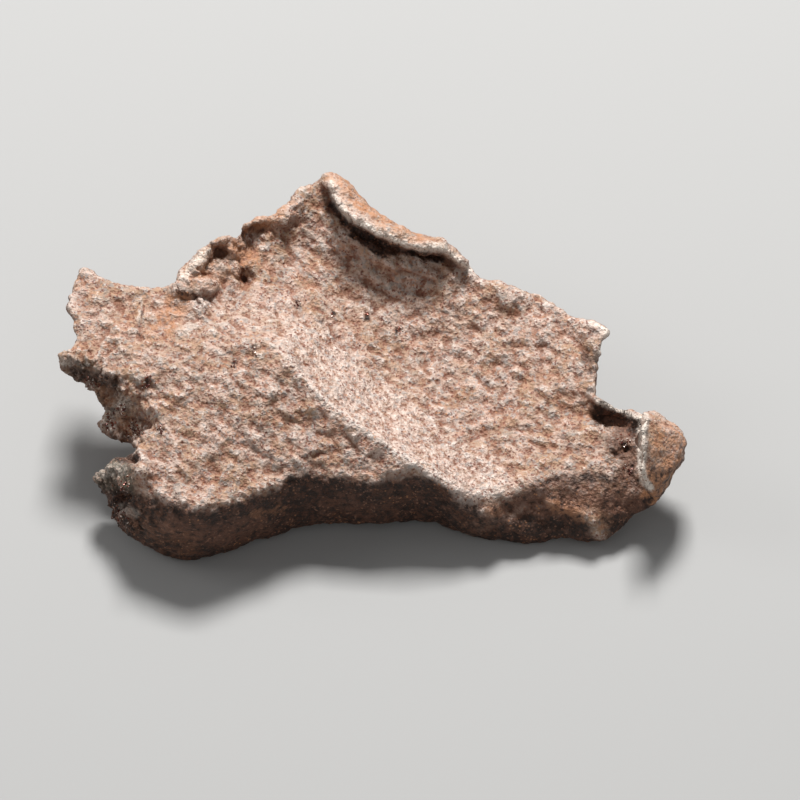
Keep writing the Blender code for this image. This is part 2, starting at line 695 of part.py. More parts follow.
if __name__ == "__main__":
    main()
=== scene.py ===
"""Iron meteorite: the finished look of one torn, twisted plate of rusty iron.

The plate's solid is copied and given a fine even skin. The skin is worked like a clay model:
cuts and ridges are pressed into it, then the hammered grain of the surface. Masks painted on
the same skin tell the finish where the iron is rubbed smooth, rubbed to bright metal, rusty,
dark or torn, and where light is painted: painted sheen on the flanks turned to the key lamp,
painted highlights on bump tops and glints, and painted shade and shadow in creases,
undercuts and hollows and on the sides that face down.

The tables are in millimetres in the face's own frame: u runs across, v runs up the face and
w stands out of it.
"""

import logging
import math
import random
from dataclasses import dataclass, field
from enum import Enum

import bmesh
import bpy
import numpy as np
from mathutils import Euler, Matrix, Vector, noise


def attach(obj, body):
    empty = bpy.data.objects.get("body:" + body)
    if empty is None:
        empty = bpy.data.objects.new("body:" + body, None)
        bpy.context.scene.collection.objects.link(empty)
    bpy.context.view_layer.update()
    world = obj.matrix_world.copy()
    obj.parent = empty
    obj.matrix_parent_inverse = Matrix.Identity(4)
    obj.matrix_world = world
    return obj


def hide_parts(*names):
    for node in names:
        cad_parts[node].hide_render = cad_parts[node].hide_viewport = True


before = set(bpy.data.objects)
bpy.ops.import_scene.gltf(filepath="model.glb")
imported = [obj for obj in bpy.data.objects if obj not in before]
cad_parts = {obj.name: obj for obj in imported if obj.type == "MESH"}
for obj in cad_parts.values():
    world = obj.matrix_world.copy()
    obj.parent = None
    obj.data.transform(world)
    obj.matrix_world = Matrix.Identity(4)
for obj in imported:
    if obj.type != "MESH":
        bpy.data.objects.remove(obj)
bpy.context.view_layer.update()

log = logging.getLogger("meteorite")
MM = 0.001
NODE = "meteorite"

Point = tuple[float, float]
Place = tuple[float, float, float]
Colour = tuple[float, float, float]
Edge = tuple[float, float]

BRUSH_EDGE: Edge = (0.55, 1.35)
FRONT_EDGE: Edge = (-0.15, 0.35)
SHIFT_EDGE: Edge = (0.1, 0.4)
NEIGHBOURS_SHARE = 0.6
NOISE_SEED = 5


class Mask(Enum):
    """The masks of the skin: all are painted as attributes but TORN, which only shapes it."""

    TOPS = "tops"
    HOLLOWS = "hollows"
    DUST_AND_SHADE = "dust_and_shade"
    BURNISHED_AND_SHEEN = "burnished_and_sheen"
    WORN_AND_GLINTS = "worn_and_glints"
    RUST = "rust"
    DARK_AND_SHADE = "dark"
    TORN = "torn"
    GREY_AND_SHADE = "grey_and_shade"
    RUDDY = "ruddy"


@dataclass(frozen=True)
class FaceFrame:
    """The face's own frame, and how it lies in the meteorite's frame."""

    tilt: float = math.radians(35.0)
    zero_x: float = -0.093
    zero_y: float = 3.856

    def to_face(self, points: np.ndarray) -> np.ndarray:
        """Turn places of the meteorite into u, v and w.

        Args:
            points: Rows of x, y and z in millimetres.

        Returns:
            Rows of u, v and w in millimetres.
        """
        run = points[:, 1] - self.zero_y
        rise = points[:, 2]
        return np.column_stack((
            points[:, 0] - self.zero_x,
            run * math.cos(self.tilt) + rise * math.sin(self.tilt),
            rise * math.cos(self.tilt) - run * math.sin(self.tilt),
        ))

    def to_object(self, u: float, v: float, w: float) -> Vector:
        """Turn one place of the face into a place of the meteorite.

        Args:
            u: How far across the face it is.
            v: How far up the face it is.
            w: How far out of the face it is.

        Returns:
            The place in metres.
        """
        y = v * math.cos(self.tilt) - w * math.sin(self.tilt) + self.zero_y
        z = v * math.sin(self.tilt) + w * math.cos(self.tilt)
        return Vector((u + self.zero_x, y, z)) * MM

    def outward(self) -> np.ndarray:
        """Return the direction that stands out of the face."""
        return np.array((0.0, -math.sin(self.tilt), math.cos(self.tilt)))


def reach_to(u: np.ndarray, v: np.ndarray, line: tuple[Point, ...]) -> np.ndarray:
    """Measure how far each place of the face is from a line.

    Args:
        u: Places across the face.
        v: Places up the face.
        line: The line's points, or a single point.

    Returns:
        The distances in millimetres.
    """
    if len(line) == 1:
        return np.hypot(u - line[0][0], v - line[0][1])
    nearest = np.full(len(u), np.inf)
    for (start_u, start_v), (end_u, end_v) in zip(line, line[1:]):
        run_u, run_v = end_u - start_u, end_v - start_v
        length = run_u ** 2 + run_v ** 2
        share = np.clip(((u - start_u) * run_u + (v - start_v) * run_v) / length, 0.0, 1.0)
        gap = np.hypot(u - start_u - share * run_u, v - start_v - share * run_v)
        nearest = np.minimum(nearest, gap)
    return nearest


def round_spot(
    u: np.ndarray, v: np.ndarray, line: tuple[Point, ...], width: float
) -> np.ndarray:
    """Return 1 on a line or a point of the face, falling to 0 past its width."""
    return np.exp(-(reach_to(u, v, line) / width) ** 2)


def below_brow(u: np.ndarray, v: np.ndarray) -> np.ndarray:
    """Return how far each place of the face lies below the front wall's brow."""
    return np.interp(u, *np.array(BROW).T) - v


def smooth_step(value: np.ndarray, low: float, high: float) -> np.ndarray:
    """Return 0 below low and 1 above high, with a smooth rise between."""
    share = np.clip((value - low) / (high - low), 0.0, 1.0)
    return share * share * (3 - 2 * share)


@dataclass(frozen=True)
class Pattern:
    """A pattern of noise: how far apart its forms are, how high they stand, and its seed."""

    size: float
    height: float
    seed: float

    def lumps(self, places: np.ndarray) -> np.ndarray:
        """Read soft lumps and hollows, about minus to plus the height.

        Args:
            places: Rows of three lengths in millimetres.

        Returns:
            One value a row.
        """
        scaled = places / self.size + self.seed
        return self.height * np.array([noise.noise(row) for row in scaled.tolist()]) * 1.6

    def pits(self, places: np.ndarray) -> np.ndarray:
        """Read round pits, 0 at the middle of each and about the height between them."""
        scaled = places / self.size + self.seed
        return self.height * np.array([noise.voronoi(row)[0][0] for row in scaled.tolist()])

    def shards(self, places: np.ndarray) -> np.ndarray:
        """Read small flat facets, each tilted its own way, as on broken metal.

        The tilts follow the seed that main sets. Unset, they would differ from run to run.

        Args:
            places: Rows of three lengths in millimetres.

        Returns:
            One value a row, about minus to plus the height.
        """
        found = []
        for row in (places / self.size + self.seed).tolist():
            centre = noise.voronoi(row)[1][0]
            tilt = noise.noise_vector(centre * 5.3)
            found.append(2.4 * tilt.dot(Vector(row) - centre) + noise.noise(centre * 3.1))
        return self.height * np.array(found)


@dataclass(frozen=True)
class Stroke:
    """One stroke of the modelling tool on the face.

    Positive height raises the skin and negative height presses it in.
    """

    line: tuple[Point, ...]
    width: float
    height: float
    sharp: bool = False

    def lift(self, u: np.ndarray, v: np.ndarray) -> np.ndarray:
        """Measure how far the stroke lifts each place of the face.

        Args:
            u: Places across the face.
            v: Places up the face.

        Returns:
            Millimetres outwards, one a place.
        """
        reach = reach_to(u, v, self.line) / self.width
        fall = np.exp(-reach) if self.sharp else np.exp(-reach ** 2)
        return self.height * fall


def inside(u: np.ndarray, v: np.ndarray, outline: tuple[Point, ...]) -> np.ndarray:
    """Return which places of the face lie inside a closed outline.

    Args:
        u: Places across the face.
        v: Places up the face.
        outline: The outline's points in order.

    Returns:
        True inside and False outside.
    """
    found = np.zeros(len(u), dtype=bool)
    for (start_u, start_v), (end_u, end_v) in zip(outline, outline[1:] + outline[:1]):
        crosses = (start_v > v) != (end_v > v)
        run = (end_u - start_u) * (v - start_v) / ((end_v - start_v) or 1e-9) + start_u
        found ^= crosses & (u < run)
    return found


@dataclass(frozen=True)
class Press:
    """A nearly flat plate that the skin is pressed to inside an outline of the face."""

    outline: tuple[Point, ...]
    middle: Point
    height: float
    slope: Point
    bow: float
    floor: float
    edge: float = 0.3

    def lift(self, places: np.ndarray) -> np.ndarray:
        """Return how far the plate moves each place along w.

        Args:
            places: Rows of u, v and w.

        Returns:
            Millimetres along w, one a place.
        """
        run_u, run_v = places[:, 0] - self.middle[0], places[:, 1] - self.middle[1]
        plate = self.height + self.slope[0] * run_u + self.slope[1] * run_v - self.bow * run_v ** 2
        return (plate - places[:, 2]) * self.holds(places)

    def holds(self, places: np.ndarray) -> np.ndarray:
        """Tell how firmly the plate holds each place.

        Args:
            places: Rows of u, v and w.

        Returns:
            From 0 outside the plate to 1 inside it, one a place.
        """
        u, v, w = places.T
        share = smooth_step(reach_to(u, v, self.outline + self.outline[:1]), 0.0, self.edge)
        return share * inside(u, v, self.outline) * (w > self.floor)


@dataclass(frozen=True)
class Tint:
    """One stroke of the brush: where a mask is strong, with a soft edge."""

    line: tuple[Point, ...]
    width: float
    strength: float = 1.0

    def paint(self, u: np.ndarray, v: np.ndarray) -> np.ndarray:
        """Return how strong the stroke is at each place of the face."""
        reach = reach_to(u, v, self.line) / self.width
        return self.strength * (1 - smooth_step(reach, *BRUSH_EDGE))


RIDGE = (
    (-6.2, 0.8), (-5.0, -0.6), (-2.9, -2.7), (-1.4, -3.8), (0.7, -5.2), (2.8, -6.6), (4.2, -7.6),
    (5.6, -8.7),
)
FLANK = ((-8.1, 3.3), (-4.3, 1.2), (-1.4, -2.0), (2.1, -4.1), (4.9, -7.3), (7.7, -7.9))
LIP_EDGE = (
    (-2.8, 13.0), (-2.7, 12.2), (-2.2, 11.3), (-1.4, 10.4), (-0.3, 9.9), (0.5, 9.4), (1.5, 9.0),
    (2.5, 8.6), (3.5, 8.3), (5.0, 8.4), (7.0, 6.9),
)
LIP_PALE = (
    (-2.6, 13.0), (-2.4, 12.2), (-1.9, 11.4), (-1.1, 10.6), (-0.1, 10.1), (0.8, 9.6), (1.7, 9.2),
    (2.7, 8.75), (3.6, 8.45), (5.0, 8.5), (5.8, 7.9), (6.9, 6.9),
)
LIP_SHADOW = (
    (-2.9, 12.2), (-2.6, 11.2), (-1.8, 10.1), (-0.7, 9.45), (0.4, 8.85), (1.4, 8.45), (2.6, 8.1),
    (3.8, 7.85), (5.0, 7.75), (5.8, 7.3),
)
LIP_BACK = (
    (-2.4, 13.4), (-1.3, 12.4), (0.3, 10.9), (1.9, 9.9), (3.6, 9.2),
)
TAB_EDGE = (
    (19.2, -3.6), (19.0, -4.4), (19.0, -6.0), (18.95, -7.0), (19.15, -8.0), (19.6, -8.5),
)
BROW = (
    (-20.0, -8.2), (-16.3, -8.8), (-14.0, -9.6), (-12.0, -10.05), (-10.0, -9.6), (-7.0, -8.7),
    (-5.4, -7.5), (-3.5, -7.6), (0.0, -8.1), (3.0, -7.6), (4.8, -8.2), (6.2, -9.2),
    (8.0, -9.6), (9.3, -9.3), (10.5, -8.4), (12.5, -7.5), (15.0, -7.1), (18.5, -7.2),
    (22.5, -6.5),
)
CRACK = ((-15.9, 4.6), (-16.1, 3.2), (-16.3, 2.4), (-16.1, 1.8))
SLIT = ((-13.4, 5.4), (-13.0, 4.9), (-12.4, 4.8), (-12.0, 4.4))
HOLLOW_RIM = ((16.0, -2.5), (17.4, -3.0), (18.8, -3.6))
UPPER_TEAR = ((-20.5, -0.2), (-18.2, -2.4), (-17.0, -4.6))
FACET_TIP = ((15.4, -10.4), (16.3, -11.9))

STROKES = (
    # The ridge and the hollow along its lower side.
    Stroke(RIDGE, 0.5, 0.14, sharp=True),
    Stroke(((-7.4, 0.4), (-6.0, -1.4), (-3.6, -3.7), (-0.4, -5.6), (2.6, -7.4)), 1.1, -0.12),
    # The curled lip, its undercut and the plate under it.
    Stroke(LIP_EDGE, 0.35, 0.12),
    Stroke(LIP_SHADOW, 0.3, -0.3),
    Stroke(((-1.4, 8.9), (0.6, 7.7), (3.4, 6.8), (5.4, 6.5)), 1.0, 0.5),
    # The crack and the slit at the upper left.
    Stroke(CRACK, 0.09, -0.12),
    Stroke(((-13.2, 5.1), (-12.6, 4.4), (-12.0, 4.1)), 0.5, 0.5),
    Stroke(SLIT, 0.12, -0.25),
    # The pocket: its rim, its lobes and the clefts between them.
    Stroke(((-13.2, 6.2), (-11.5, 8.0)), 0.35, 0.14),
    Stroke(((-11.6, 6.4), (-10.4, 7.2)), 0.8, 0.45),
    Stroke(((-9.8, 7.1), (-9.2, 7.3)), 0.5, 0.3),
    Stroke(((-9.2, 7.0), (-8.5, 7.3)), 0.5, 0.35),
    Stroke(((-8.6, 6.7),), 0.5, 0.4),
    Stroke(((-10.0, 8.1),), 0.5, 0.4),
    Stroke(((-12.6, 5.9), (-11.6, 5.2), (-11.0, 5.3)), 0.3, 0.2),
    Stroke(((-10.9, 6.1), (-10.2, 5.9)), 0.22, -0.2),
    Stroke(((-11.0, 7.9), (-10.3, 8.3)), 0.25, -0.2),
    Stroke(((-8.9, 6.3), (-8.8, 7.0)), 0.2, -0.2),
    Stroke(((-9.3, 9.2), (-8.5, 9.7), (-7.6, 9.9)), 0.25, -0.1),
    # The cavities of the torn end.
    Stroke(((-16.9, -4.6),), 0.5, -0.4),
    Stroke(((-17.5, -9.4),), 0.6, -0.8),
    Stroke(((-17.4, -6.2), (-16.4, -6.6)), 0.25, -0.3),
    # The rolled rims at the right.
    Stroke(((11.0, 4.6), (12.4, 4.2), (13.3, 3.6)), 0.4, 0.2),
    Stroke(((8.0, 5.9), (10.5, 5.1), (13.5, 3.7)), 0.3, 0.1),
    Stroke(HOLLOW_RIM, 0.22, 0.15),
    # The knobs and dips of the facet at the lower right.
    Stroke(((12.6, -9.5), (14.2, -10.1), (15.4, -10.5)), 0.5, 0.25),
    Stroke(((8.1, -10.0), (8.9, -10.2)), 0.55, 0.2),
    Stroke(((14.2, -11.2), (15.4, -11.6), (16.4, -11.6), (17.4, -10.8)), 0.7, 0.35),
    Stroke(((9.4, -9.9), (11.4, -9.5)), 0.6, -0.2),
    Stroke(((10.6, -10.6), (12.6, -11.0), (14.4, -11.2)), 0.4, -0.15),
    Stroke(((6.5, -9.6), (8.2, -10.6), (10.6, -11.2)), 0.5, 0.12),
)

TAB_PRESS = Press(
    outline=(
        (18.75, -3.7), (19.2, -3.35), (20.0, -3.5), (20.4, -3.95), (20.85, -4.2), (21.4, -4.05),
        (21.9, -4.3), (22.1, -5.1), (21.8, -6.0), (21.4, -6.8), (21.1, -7.7), (20.5, -8.4),
        (20.0, -8.7), (19.4, -8.6), (19.0, -8.1), (18.75, -7.1), (18.8, -5.9), (18.75, -4.7),
    ),
    middle=(20.4, -6.3),
    height=12.75,
    slope=(-0.9, 0.0),
    bow=0.1,
    floor=11.0,
)

POCKET_PRESS = Press(
    outline=(
        (-12.1, 6.1), (-12.0, 7.0), (-11.4, 7.8), (-10.6, 8.0), (-9.6, 7.8), (-8.9, 7.2),
        (-9.1, 6.4), (-10.2, 6.0), (-11.2, 5.9),
    ),
    middle=(-10.4, 7.0),
    height=7.0,
    slope=(-0.5, -0.25),
    bow=0.0,
    floor=4.5,
    edge=0.5,
)

TINTS: dict[Mask, tuple[Tint, ...]] = {
    # Painted sheen and light where the flanks face the key lamp, and a painted lightening of the
    # dish's middle; the iron is also rubbed smooth there.
    Mask.BURNISHED_AND_SHEEN: (
        Tint(FLANK[1:], 2.2),
        Tint(((-12.6, 3.4), (-9.5, 3.6), (-6.5, 3.2), (-4.6, 1.6)), 1.4, 0.5),
        Tint(((7.7, -7.9), (10.0, -8.2)), 0.8, 0.5),
        Tint(((-1.0, 5.0), (3.0, 4.0), (7.0, 2.0)), 2.5, 0.22),
    ),
    Mask.WORN_AND_GLINTS: (
        Tint(LIP_PALE, 0.4, 0.25),
        Tint(LIP_EDGE, 0.2, 0.9),
        Tint(((-16.05, 4.6), (-16.25, 3.2), (-16.45, 2.4)), 0.07, 0.5),
        Tint(((-17.4, -9.9), (-16.4, -10.3)), 0.35, 0.25),
        # The next two strokes are painted glints on the torn end.
        Tint(((-18.0, -3.0), (-17.2, -2.6)), 0.5, 0.35),
        Tint(((-18.6, -3.6), (-18.0, -4.4)), 0.25, 0.5),
        Tint(((-21.8, 0.4), (-21.2, 0.2)), 0.3, 0.4),
        Tint(TAB_EDGE, 0.24, 0.9),
        Tint(((-13.2, 6.2), (-12.4, 7.2), (-11.5, 8.0)), 0.3, 0.6),
        Tint(HOLLOW_RIM, 0.2, 0.8),
        Tint(((15.6, 3.1), (16.8, 2.4), (16.1, 1.0)), 0.2, 0.8),
        Tint(((-19.6, -7.4), (-17.4, -7.2)), 0.5, 0.3),
        Tint(((19.2, -3.5), (19.1, -4.3)), 0.3, 0.9),
    ),
    Mask.RUST: (
        Tint(((-19.0, -1.6), (-17.4, -3.2), (-16.8, -4.4)), 0.5, 0.5),
        Tint(((-14.6, 2.8), (-13.6, 4.3)), 0.9, 0.9),
        Tint(((-9.6, 8.4), (-8.6, 7.6)), 0.7, 0.8),
        Tint(((-8.9, 10.1), (-6.5, 10.8)), 0.8, 0.6),
        Tint(((13.0, -9.7), (15.0, -10.4)), 0.6, 0.6),
        Tint(((8.5, -10.0),), 0.6, 0.45),
        Tint(((-8.0, -10.2), (-6.0, -10.0)), 0.35, 0.3),
        Tint(((19.4, -9.0), (19.9, -9.4)), 0.45, 1.0),
        Tint(LIP_BACK, 0.75, 0.9),
        # Painted light on the lit tip of the lower right facet.
        Tint(((15.2, -9.9), (16.4, -10.8)), 0.7, 0.3),
        Tint(((-12.0, 6.4), (-10.0, 7.4)), 1.2, 0.35),
        Tint(((20.9, -5.0), (20.7, -6.4), (20.1, -7.9)), 1.2, 0.8),
        Tint(((-16.0, -10.8), (-13.0, -12.6)), 1.2, 0.12),
    ),
    # Painted shade and shadow with some dark crust: the lip's undercut, the hollow under the tab
    # and the tab's cast shadow, the shadows under the rolled rims, the slit, the crack and the
    # sides of the torn end that face down.
    Mask.DARK_AND_SHADE: (
        Tint(SLIT, 0.2, 0.9),
        Tint(((-8.9, 6.3), (-8.8, 6.9)), 0.2, 0.35),
        Tint(CRACK, 0.08, 0.7),
        Tint(((-20.9, -0.4), (-19.6, -0.9), (-18.0, -1.1)), 0.5, 0.65),
        Tint(((-19.2, -7.7), (-17.6, -7.9)), 0.8, 0.45),
        Tint(((-18.4, -2.6), (-17.2, -3.4)), 0.5, 0.5),
        Tint(((-16.9, -5.0), (-16.0, -4.6)), 0.4, 0.5),
        Tint(((-17.5, -9.4),), 0.8),
        Tint(((-17.4, -6.3), (-16.3, -6.4)), 0.5, 0.9),
        Tint(((16.4, -3.3), (17.6, -3.8), (18.4, -4.2)), 0.9, 0.95),
        Tint(((17.6, -5.0), (18.2, -6.6), (18.2, -8.0)), 1.1, 0.65),
        Tint(((15.3, 0.5), (15.7, -0.5)), 0.6, 0.5),
        Tint(((12.0, 4.3), (13.2, 3.6)), 0.4, 0.3),
        Tint(((-9.3, 9.2), (-7.8, 9.8)), 0.4, 0.4),
        Tint(((-2.7, 11.6), (-2.0, 10.4), (-1.2, 9.7)), 0.3, 0.8),
        Tint(((-1.0, 9.3), (0.3, 8.7), (1.6, 8.3)), 0.6, 1.0),
        Tint(((2.4, 8.0), (3.8, 7.8), (4.9, 7.7)), 0.35, 0.8),
    ),
    # Dark grey of broken iron, partly painted shade where the torn end faces down and away from
    # the light, in the slit and in the tab's shadow.
    Mask.GREY_AND_SHADE: (
        Tint(UPPER_TEAR, 1.1, 0.35),
        Tint(((-19.4, -7.5), (-17.6, -7.4), (-17.4, -9.0)), 1.2, 1.0),
        Tint(((17.2, -4.6), (17.8, -7.4)), 1.0, 0.5),
        Tint(((-13.6, 5.0), (-12.6, 5.6)), 0.5, 0.35),
    ),
    Mask.RUDDY: (
        Tint(((-14.0, -11.2), (-11.0, -11.9), (-7.5, -11.2)), 0.8, 0.5),
        Tint(((-3.0, -9.6), (1.5, -10.2)), 0.6, 0.25),
        Tint(((9.4, -9.6), (12.5, -9.2), (15.5, -9.4), (18.0, -9.2)), 1.2, 0.75),
        Tint(((16.8, -4.2), (17.9, -5.6), (18.0, -7.4)), 0.9, 0.6),
    ),
    Mask.TORN: (
        Tint(UPPER_TEAR, 1.7),
        Tint(((-19.0, -7.4), (-17.6, -9.2), (-17.0, -10.6)), 1.4),
        Tint(((-13.0, 6.4), (-11.0, 8.2), (-9.0, 9.0)), 1.0, 0.5),
        Tint(((17.0, -4.0), (17.6, -6.5)), 1.0, 0.4),
    ),
}

DARK_SPOTS = (
    (-5.0, 4.4), (-2.7, 3.7), (-0.3, 3.7), (2.0, 2.6), (6.0, 3.6), (8.2, -1.0), (-8.0, 1.1),
    (-9.5, 0.3), (-15.7, -1.0), (-15.6, -1.3), (-14.6, -4.5), (-3.5, 3.1), (-11.0, -6.4),
)


class Skin:
    """The fine skin of the meteorite, from the solid's copy to the painted mesh."""

    def __init__(self, mesh: bpy.types.Mesh, face: FaceFrame) -> None:
        """Read the mesh.

        Args:
            mesh: The mesh to work on.
            face: The frame that the strokes are laid out in.
        """
        self.mesh = mesh
        self.face = face
        self.points = self._read("co") / MM
        self.normals = self._read("normal")
        edges = np.empty(len(mesh.edges) * 2, dtype=np.int64)
        mesh.edges.foreach_get("vertices", edges)
        self.edges = edges.reshape(-1, 2)

    def _read(self, name: str) -> np.ndarray:
        """Return one vector of each vertex."""
        values = np.empty(len(self.mesh.vertices) * 3)
        self.mesh.vertices.foreach_get(name, values)
        return values.reshape(-1, 3)

    def _store(self) -> None:
        """Write the moved points to the mesh and read its new normals."""
        self.mesh.vertices.foreach_set("co", (self.points * MM).ravel())
        self.mesh.update()
        self.normals = self._read("normal")

    def flat_places(self) -> tuple[np.ndarray, np.ndarray, np.ndarray]:
        """Return u and v of each vertex, and how far it looks out of the face, 0 to 1."""
        places = self.face.to_face(self.points)
        front = smooth_step(self.normals @ self.face.outward(), *FRONT_EDGE)
        return places[:, 0], places[:, 1], front

    def averaged(self, values: np.ndarray, rounds: int) -> np.ndarray:
        """Soften values by mixing in those of the neighbours.

        Args:
            values: One row a vertex.
            rounds: How many times to do so.

        Returns:
            The softened rows.
        """
        count = len(values)
        first, second = self.edges.T
        ends = np.concatenate((first, second))
        others = np.concatenate((second, first))
        links = np.maximum(np.bincount(ends, minlength=count), 1)
        result = values.astype(float)
        for _ in range(rounds):
            total = np.column_stack([
                np.bincount(ends, weights=column[others], minlength=count)
                for column in result.T
            ])
            kept = (1 - NEIGHBOURS_SHARE) * result
            result = kept + NEIGHBOURS_SHARE * total / links[:, None]
        return result

    def move(self, lift: np.ndarray) -> None:
        """Move each vertex along its normal, and keep it above the table.

        Args:
            lift: Millimetres outwards, one a vertex.
        """
        self.points = self.points + self.normals * lift[:, None]
        self.points[:, 2] = np.maximum(self.points[:, 2], 0.0)
        self._store()

    def shift(self, distance: np.ndarray, direction: np.ndarray) -> None:
        """Move the outward half of the skin along one direction.

        Args:
            distance: Millimetres along the direction, one a vertex.
            direction: The direction.
        """
        facing = smooth_step(self.normals @ direction, *SHIFT_EDGE)
        self.points = self.points + (distance * facing)[:, None] * direction
        self._store()

    def paint(self, mask: Mask, values: np.ndarray) -> None:
        """Store one mask as an attribute of the mesh, held to -1 to 1."""
        attribute = self.mesh.attributes.new(mask.value, "FLOAT", "POINT")
        attribute.data.foreach_set("value", np.clip(values, -1.0, 1.0).astype(np.float32))


@dataclass
class Hammering:
    """The hammered grain of the surface: sizes and heights in millimetres."""

    streak_angle: float = math.radians(-38.0)
    streak_stretch: float = 1.5
    broad: Pattern = Pattern(2.0, 0.15, 3.0)
    middle: Pattern = Pattern(1.1, 0.15, 7.0)
    fine: Pattern = Pattern(0.42, 0.1, 11.0)
    finest: Pattern = Pattern(0.24, 0.03, 13.0)
    cobble: Pattern = Pattern(0.95, 0.27, 17.0)
    shard: Pattern = Pattern(0.6, 0.26, 29.0)
    splinter: Pattern = Pattern(0.3, 0.13, 31.0)
    burnished_share: float = 0.45
    wall_share: float = 0.55
    torn_share: float = 0.5

    def streaked(self, places: np.ndarray) -> np.ndarray:
        """Squeeze the places along the streaks, so that the grain runs out along them.

        Args:
            places: Rows of u, v and w.

        Returns:
            The squeezed rows.
        """
        cosine, sine = math.cos(self.streak_angle), math.sin(self.streak_angle)
        u, v, w = places.T
        return np.column_stack((
            (u * cosine + v * sine) / self.streak_stretch,
            v * cosine - u * sine,
            w,
        ))

    def lift(
        self, places: np.ndarray, smooth: np.ndarray, wall: np.ndarray, torn: np.ndarray
    ) -> np.ndarray:
        """Return how far the grain lifts each place.

        Args:
            places: Rows of u, v and w.
            smooth: Where the skin is burnished, 0 to 1.
            wall: Where it is the front wall, 0 to 1.
            torn: Where it is torn, 0 to 1.

        Returns:
            Millimetres outwards, one a place.
        """
        run = self.streaked(places)
        folds = np.abs(self.middle.lumps(run)) - 0.35 * self.middle.height
        cobbles = 0.5 * self.cobble.height - self.cobble.pits(run)
        grain = self.broad.lumps(run) + folds + self.fine.lumps(run) + cobbles
        grain *= 1 - (1 - self.burnished_share) * smooth
        grain *= 1 - (1 - self.wall_share) * wall
        grain += self.finest.lumps(places)
        broken = torn > 0.02
        facets = np.zeros(len(places))
        for pattern in (self.shard, self.splinter):
            facets[broken] += pattern.shards(places[broken])
        return grain * (1 - (1 - self.torn_share) * torn) + torn * facets


